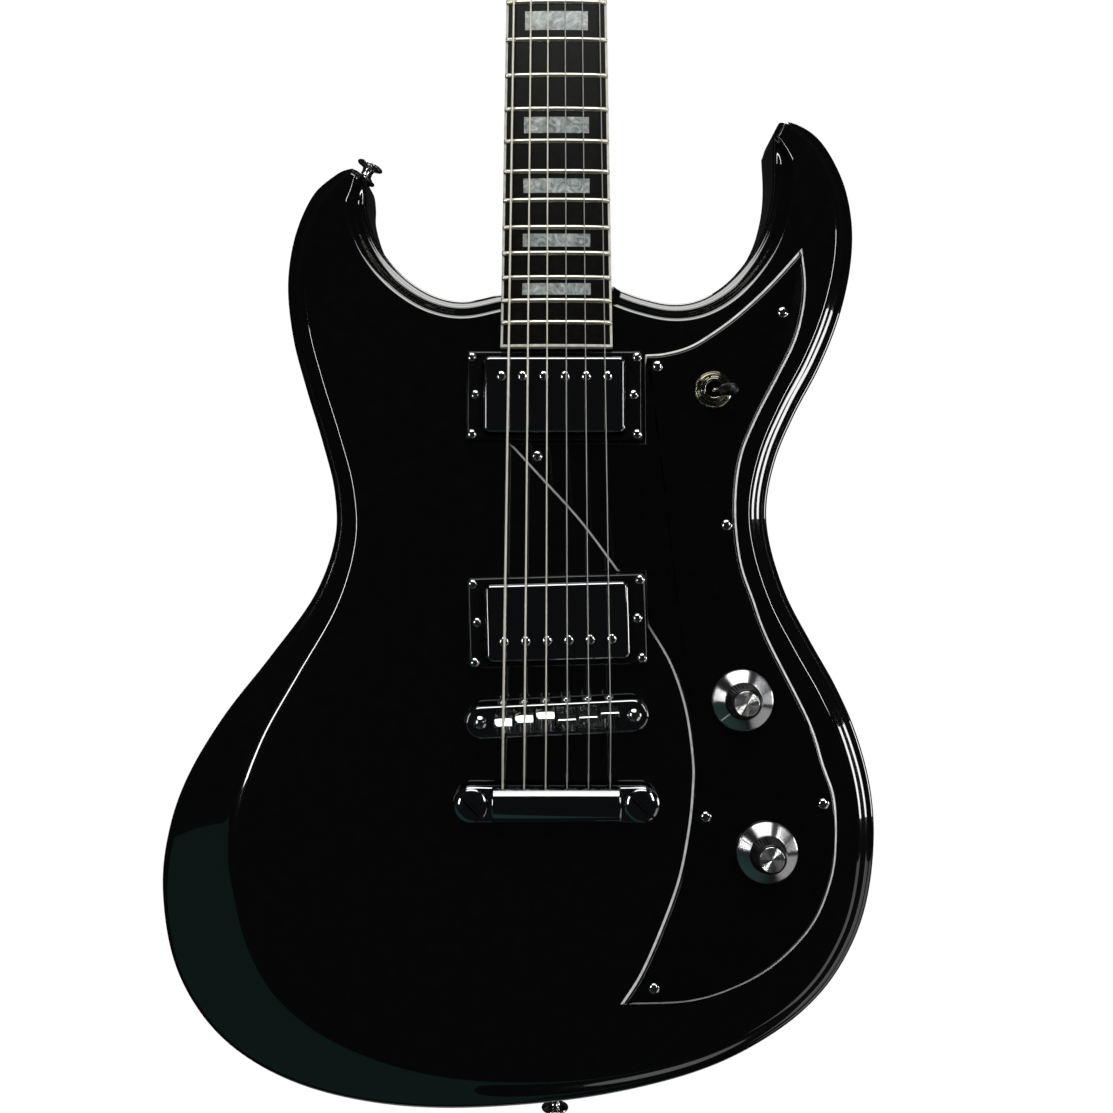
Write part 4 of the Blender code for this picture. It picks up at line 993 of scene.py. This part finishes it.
def make_tuner(name, side, k):
    """A sealed case with rounded edges, a threaded bush with its washer, the post and the button."""
    where = HEAD @ step_to(side * TUNER_X[k], TUNER_Y[k], 0) @ turn_about("Z", 0 if side > 0 else 180)
    back = -HEAD_THICK - 0.3
    worm_y, worm_z = 7.4, back - 6.0
    case = moved(block(rectangle_plan(17, 21, 4), -11.5, 0, crown=0.5, foot=2.2, steps=5), (0, 3, back))
    collar = moved(turned(rounded([(3.6, 6.6), (3.6, 10.2), (0.5, 10.2)], 0.4), 40), (0, worm_y, worm_z),
        turn_about("Y", 90))
    bush = turned(rounded([(4.9, back - 3), (4.9, 0.3), (7.0, 0.3), (7.0, 1.1), (5.9, 1.5), (5.6, 3.0),
        (4.9, 3.4), (3.4, 3.4)], 0.25), 48)
    mesh = carved(mesh_of(f"tuner_{name}_case", case, DARK_CHROME), [bush, collar], 35, "UNION")
    bore = rod(3.4, back - 9, 9, 32)
    worm_bore = moved(rod(2.5, 4.6, 20, 32), (0, worm_y, worm_z), turn_about("Y", 90))
    mesh = carved(mesh, [bore, worm_bore], 35)
    place_mesh(f"tuner_{name}_case", mesh, where, f"tuner_case_{name}")

    profile = rounded([(3.0, back - 8.6), (3.0, 9.0), (2.6, 10.4), (2.6, 12.6), (3.0, 14.0), (3.0, 16.4)],
        0.6)
    profile += [(2.8, 16.8), (2.2, 17.0), (0.1, 17.0)]
    eye = moved(rod(0.8, -6, 6, 16), (0, 0, 11.4), turn_about("Y", 90))
    mesh = carved(mesh_of("post", turned(profile, 40), CHROME), [eye], 35)
    place_mesh(f"tuner_{name}_post", mesh, where, f"tuner_post_{name}", f"post_{name}")
    winding = []
    radius = next(s[1] for s in STRINGS if s[0] == name)
    for i in range(WINDING_TURNS * WINDING_STEPS + 1):
        angle = 2 * math.pi * i / WINDING_STEPS
        winding.append(Vector(((3.0 + radius) * math.cos(angle), (3.0 + radius) * math.sin(angle),
            WINDING_HEIGHT + 2.05 * radius * i / WINDING_STEPS)))
    piece(f"tuner_{name}_winding", tube(winding, radius * 0.98, 10), PLAIN_STRING, where,
        f"tuner_post_{name}", f"post_{name}", sharp=60)

    reach = 41.6 - TUNER_X[k]
    start = reach + 4.0
    stem = rounded([(2.1, 5.0), (2.1, reach + 1.0), (3.2, reach + 1.2), (3.2, reach + 3.0),
        (2.1, reach + 3.3), (2.1, start), (3.9, start + 0.6), (3.9, start + 4)], 0.3)
    stem_shape = moved(turned(stem, 32), turn=turn_about("Y", 90))
    rings = []
    for i in range(19):
        t = -1 + i / 9
        bulge = max(0.02, 1 - abs(t) ** 3.2) ** (1 / 3.2)
        size_y, size_z = 18.2 * bulge * (0.93 + 0.05 * t), 7.4 * bulge ** 0.8
        section = rounded_rectangle(size_y, size_z, min(size_y, size_z) * 0.49, 6)
        rings.append([(start + 7.6 + 7.5 * t, y, z) for y, z in section])
    spot = where @ step_to(0, worm_y, worm_z)
    mesh = carved(mesh_of(f"tuner_{name}_button", stem_shape, DARK_CHROME), [loft(rings)], 40, "UNION")
    place_mesh(f"tuner_{name}_button_cast", mesh, spot, f"tuner_button_{name}", f"button_{name}")
    screw = screw_mesh(f"tuner_{name}_screw", CHROME, 1.7, 0.7, "cross")
    at = where @ step_to(0, 3.0, back - 11.45) @ turn_about("X", 180)
    place_mesh(f"tuner_{name}_cap_screw", screw, at)


# ---- Strings ----


def make_strings():
    for i, (name, radius, x_saddle, x_nut, crest, wound) in enumerate(STRINGS):
        side = -1 if i < 3 else 1
        k = i if i < 3 else 5 - i
        x_tail = x_saddle * TAIL_SPREAD

        def seen(owner, place):
            return BODY.inverted() @ owner @ (Vector(place) * MM) / MM

        break_point = seen(BRIDGE, (x_saddle - BRIDGE_CENTRE[0], -4.2, STRING_HEIGHT))
        nut_front = seen(NECK, (x_nut, NECK_RUN, NUT_SLOT))
        nut_back = seen(NECK, (x_nut, NECK_RUN + NUT_LENGTH, NUT_SLOT - 0.1))
        post = seen(HEAD, (side * (TUNER_X[k] - 3.0 - radius), TUNER_Y[k], WINDING_HEIGHT + radius))
        tail = Vector((x_tail, TAIL_CENTRE[1] + 10.6, 9.3))
        path = [Vector((x_tail, TAIL_CENTRE[1] + 1.0, 9.0)), tail - Vector((0, 0.7, 0.12)),
            tail + (break_point - tail) * 0.03]
        path += [break_point + (tail - break_point) * 0.04, break_point + (nut_front - break_point) * 0.003]
        path += [break_point.lerp(nut_front, t / 12) for t in range(1, 12)]
        path += [nut_front, nut_back, nut_back.lerp(post, 0.04), nut_back.lerp(post, 0.5), post]
        finish = WOUND_STRING if wound else PLAIN_STRING
        piece(f"string_{name}_wire", tube(path, radius, 14), finish, BODY, f"string_{name}", sharp=60)
        if not wound:
            run = (break_point - tail).normalized()
            twist = [tail + run * (0.4 + 0.35 * i) for i in range(14)]
            rings = []
            for i, spot in enumerate(twist):
                angle = 1.9 * i
                ring = [(radius * (1.75 + 0.45 * math.cos(2 * a)), a + angle) for a in (2 * math.pi * q / 12
                    for q in range(12))]
                rings.append([spot + Vector((r * math.cos(a), 0, r * math.sin(a))) for r, a in ring])
            piece(f"string_{name}_twist", loft(rings), PLAIN_STRING, BODY, f"string_{name}", sharp=60)


# ---- Controls ----


def fluted(profile, flutes, depth, per_flute=4):
    """A turned shape whose side is cut by fine flutes; each profile row is (radius, z, flute share)."""
    sides = flutes * per_flute
    rings = []
    for radius, z, share in profile:
        ring = []
        for i in range(sides):
            angle = 2 * math.pi * i / sides
            r = radius - share * depth * (0.5 - 0.5 * math.cos(flutes * angle))
            ring.append((r * math.cos(angle), r * math.sin(angle), z))
        rings.append(ring)
    return loft(rings)


def make_knob(name, line_turn):
    centre = middle_of(name)
    where = BODY @ step_to(centre.x, centre.y, 0)
    skirt = rounded([(3.0, -7.0), (3.0, 7.4), (6.6, 7.4), (6.6, 3.2), (14.6, 3.2), (14.9, 3.5), (14.9, 4.5),
        (14.2, 5.0), (9.2, 7.6), (8.0, 7.7), (1.0, 7.7)], 0.25)


    def on_skirt(x, length, width, low, high):
        bar = prism(rounded_rectangle(length, width, 0.2, 2), low, high)
        return moved(moved(bar, (x, 0, 6.2), turn_about("Y", 27.5)), turn=turn_about("Z", line_turn))

    piece(f"{name}_skirt", turned(skirt, 96), TURNED, where, name, name,
        cutters=[on_skirt(11.6, 8.0, 0.8, -0.35, 4)], sharp=28)
    piece(f"{name}_line", on_skirt(11.7, 6.4, 0.76, -0.5, -0.22), WHITE_PLY, where, body=name)
    grip = fluted([(8.6, 7.6, 0), (9.0, 7.9, 0), (9.0, 8.5, 0), (8.9, 8.9, 1), (7.5, 15.9, 1),
        (7.2, 16.4, 0.4), (7.0, 16.8, 0), (6.7, 17.0, 0), (6.35, 17.0, 0), (6.25, 16.75, 0),
        (0.5, 16.7, 0)], 36, 0.45)
    piece(f"{name}_grip", grip, SATIN_BLACK, where, body=name, sharp=28)
    ripples = [(5.9 - 0.0625 * k, 17.15 + 0.036 * math.sin(math.pi * k / 4)) for k in range(93)]
    disc = turned([(6.1, 16.6), (6.1, 17.0), *ripples], 96)
    piece(f"{name}_disc", disc, POLISHED, where, body=name, sharp=80)


def make_toggle():
    centre = middle_of("toggle_switch")
    where = BODY @ step_to(centre.x, centre.y, 0)
    case = block(rectangle_plan(13.0, 14.0, 1.2), -30, -1.0, crown=0.4)
    bush = turned(rounded([(5.6, -1.2), (5.6, 6.6), (5.2, 7.2), (4.4, 7.2), (2.5, 2.0), (2.5, -1.2)], 0.2),
        64, closed=True)
    piece("toggle_bush", bush, NICKEL, where, "toggle_switch")
    piece("toggle_case", case, SATIN_BLACK, where, "toggle_switch")
    washer = turned(rounded([(5.8, 2.8), (9.2, 2.8), (9.25, 3.4), (8.6, 4.1), (7.6, 3.6), (6.9, 3.5),
        (5.8, 3.5)], 0.2), 96, closed=True)
    piece("toggle_washer", washer, NICKEL, where)
    nut_profile = rounded([(5.75, 3.6), (6.5, 3.6), (6.9, 4.0), (6.9, 5.6), (6.2, 6.5), (5.75, 6.5)], 0.25)
    slots = [moved(prism([(-9, -0.55), (9, -0.55), (9, 0.55), (-9, 0.55)], 5.7, 9), turn=turn_about("Z", a))
        for a in (20, 110)]
    piece("toggle_nut", turned(nut_profile, 96, closed=True), NICKEL, where, cutters=slots)
    lean = where @ step_to(0, 0, 2.4) @ turn_about("Z", -16) @ turn_about("Y", 24)
    stem = turned(rounded([(1.0, -1.2), (1.45, 0.0), (1.45, 9.2), (1.0, 9.2)], 0.3), 32)
    piece("toggle_stem", stem, CHROME, lean, "toggle_lever", "toggle_lever")
    tip = rounded([(1.5, 8.6), (2.3, 8.8), (2.75, 10.2), (3.1, 15.5), (3.05, 17.8), (2.6, 19.6),
        (1.5, 20.8), (0.1, 21.0)], 1.0, 4)
    piece("toggle_tip", turned(tip, 48), SATIN_BLACK, lean, "toggle_lever", "toggle_lever")


def hexagon(radius, inset=0.0):
    return [((radius - inset) * math.cos(math.radians(60 * k + 30)),
        (radius - inset) * math.sin(math.radians(60 * k + 30))) for k in range(6)]


def make_side_hardware():
    out = -1.3
    where = BODY @ JACK
    plate = rounded([(5.1, out), (12.8, out), (12.8, out + 1.1), (12.0, out + 1.9), (9.4, out + 1.5),
        (7.6, out + 0.9), (5.1, out + 0.9)], 0.4)
    piece("jack_dish", turned(plate, 96, closed=True), CHROME, where, "jack_plate")
    barrel = turned(rounded([(3.25, -22), (7.5, -22), (7.5, out - 0.9), (4.8, out - 0.9), (4.8, out + 4.0),
        (4.4, out + 4.3), (3.6, out + 4.3), (3.25, out + 3.9)], 0.25), 64, closed=True)
    piece("jack_barrel", barrel, NICKEL, where, "output_jack")
    nut = loft([at_height(hexagon(6.9, i), z) for i, z in ((0.3, out + 1.1), (0, out + 1.4), (0, out + 3.0),
        (0.5, out + 3.4))])
    bore = rod(4.85, -5, 10, 48)
    piece("jack_nut", nut, CHROME, where, "output_jack", cutters=[bore], sharp=20)
    head = screw_mesh("strap_screw", BUTTON_METAL, 3.4, 0.9, "cross")
    for name, at in (("horn", HORN_BUTTON), ("end", END_BUTTON)):
        felt = turned(rounded([(2.1, 0.05), (5.9, 0.05), (5.9, 1.1), (2.1, 1.1)], 0.4), 64, closed=True)
        piece(f"strap_felt_{name}", felt, BOBBIN_BLACK, BODY @ at)
        button = rounded([(1.9, -20), (1.9, 1.15), (4.5, 1.15), (4.3, 1.9), (2.9, 3.0), (2.7, 5.4),
            (3.2, 6.9), (6.6, 8.1), (6.8, 8.7), (6.5, 9.3), (5.6, 9.6), (4.0, 9.1), (0.1, 8.8)], 0.5)
        piece(f"strap_button_{name}_turned", turned(button, 64), BUTTON_METAL, BODY @ at,
            f"strap_button_{name}", sharp=40)
        place_mesh(f"strap_screw_{name}", head, BODY @ at @ step_to(0, 0, 9.0))


def finish_hidden_nodes():
    """The CAD nodes that stay, all inside the guitar."""
    for node in ("volume_pot", "tone_pot", "truss_rod"):
        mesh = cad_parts[node].data
        mesh.materials.clear()
        mesh.materials.append(STEEL)


# ---- Stage ----

CAMERA_HEIGHT = 70.879
CAMERA_DISTANCE = 567.047
CAMERA_PITCH = 1.6412
IMAGE_SIZE = 1113.0
FOCAL_SHARE = 1150.0 / IMAGE_SIZE
SHIFT_SHARE = 40.0 / IMAGE_SIZE
SENSOR = 36.0


def make_camera():
    data = bpy.data.cameras.new("camera")
    data.sensor_width = SENSOR
    data.lens = SENSOR * FOCAL_SHARE
    data.shift_y = -SHIFT_SHARE
    camera = bpy.data.objects.new("camera", data)
    bpy.context.scene.collection.objects.link(camera)
    camera.location = BODY @ (Vector((0, CAMERA_HEIGHT, CAMERA_DISTANCE)) * MM)
    camera.rotation_euler = (math.radians(90 + CAMERA_PITCH), 0, 0)
    bpy.context.scene.camera = camera


def make_light(name, place, aim, size, radiance, colour=(1, 1, 1), roll=0):
    """A flat light box of the given brightness, facing its aim."""
    data = bpy.data.lights.new(name, "AREA")
    data.shape = "RECTANGLE"
    data.size, data.size_y = size
    data.energy = radiance * math.pi * size[0] * size[1]
    data.color = colour
    light = bpy.data.objects.new(name, data)
    bpy.context.scene.collection.objects.link(light)
    light.location = place
    facing = (Vector(aim) - Vector(place)).to_track_quat("-Z", "Y").to_matrix().to_4x4()
    light.rotation_euler = (facing @ turn_about("Z", roll)).to_euler()
    return light


def make_stage():
    world = bpy.data.worlds.new("studio")
    bpy.context.scene.world = world
    world.use_nodes = True
    nodes, links = world.node_tree.nodes, world.node_tree.links
    nodes.clear()
    out = nodes.new("ShaderNodeOutputWorld")
    mix = nodes.new("ShaderNodeMixShader")
    path = nodes.new("ShaderNodeLightPath")
    seen, lit = nodes.new("ShaderNodeBackground"), nodes.new("ShaderNodeBackground")
    seen.inputs["Color"].default_value = (1, 1, 1, 1)
    lit.inputs["Color"].default_value = (0.9, 0.95, 1.0, 1)
    lit.inputs["Strength"].default_value = 0.012
    links.new(path.outputs["Is Camera Ray"], mix.inputs["Fac"])
    links.new(lit.outputs[0], mix.inputs[1])
    links.new(seen.outputs[0], mix.inputs[2])
    links.new(mix.outputs[0], out.inputs["Surface"])

    paint = Finish("stage_floor", (0.85, 0.85, 0.84), 0.7)
    paint.colour(paint.noise(3.0), ((0.3, (0.84, 0.84, 0.83)), (0.7, (0.88, 0.88, 0.87))))
    floor = bpy.data.objects.new("floor", mesh_of("floor", rod(1000, -20, 0, 96), paint.material))
    bpy.context.scene.collection.objects.link(floor)
    floor.location = (0, 1.15, -2.4)

    middle = (0, 0, -0.62)
    make_light("strip_left", (-0.85, -1.2, -0.58), middle, (0.11, 0.56), 13)
    make_light("strip_right", (0.90, -1.2, -0.35), middle, (0.13, 0.60), 13)
    make_light("side_right", (1.2, -0.10, -0.71), middle, (0.30, 0.40), 7)
    make_light("low_right_card", (1.3, -0.5, -1.75), (0.1, 0, -0.8), (1.2, 1.2), 0.5)
    make_light("top_box", (0.0, -0.9, 1.0), (0, 0, -0.5), (1.6, 0.9), 2.6, (0.97, 1.0, 0.93))
    make_light("front_fill", (0.0, -1.8, 1.15), (0, 0, -0.5), (1.8, 0.9), 4.2)
    make_light("low_card", (-1.52, -1.72, -3.78), (-1.52, 0, -3.78), (4.7, 3.0), 0.055, (0.30, 1.0, 0.90),
        -45)
    make_light("back_box", (0.3, 1.3, 1.7), (0, 0, -0.5), (1.6, 1.0), 5.0)
    view = bpy.context.scene.view_settings
    view.view_transform = "Standard"
    view.look = "None"


make_camera()
make_stage()
make_body()
make_pickguard()
make_pickup("neck", NECK_PICKUP_AT, 5.0, 10.0, 8.9)
make_pickup("bridge", BRIDGE_PICKUP_AT, 9.0, 14.0, -8.9)
make_bridge()
make_tailpiece()
make_neck()
make_board()
make_neck_hardware()
for number, string in enumerate(STRINGS):
    make_tuner(string[0], -1 if number < 3 else 1, number if number < 3 else 5 - number)
make_strings()
make_knob("volume_knob", 222)
make_knob("tone_knob", 152)
make_toggle()
make_side_hardware()
finish_hidden_nodes()
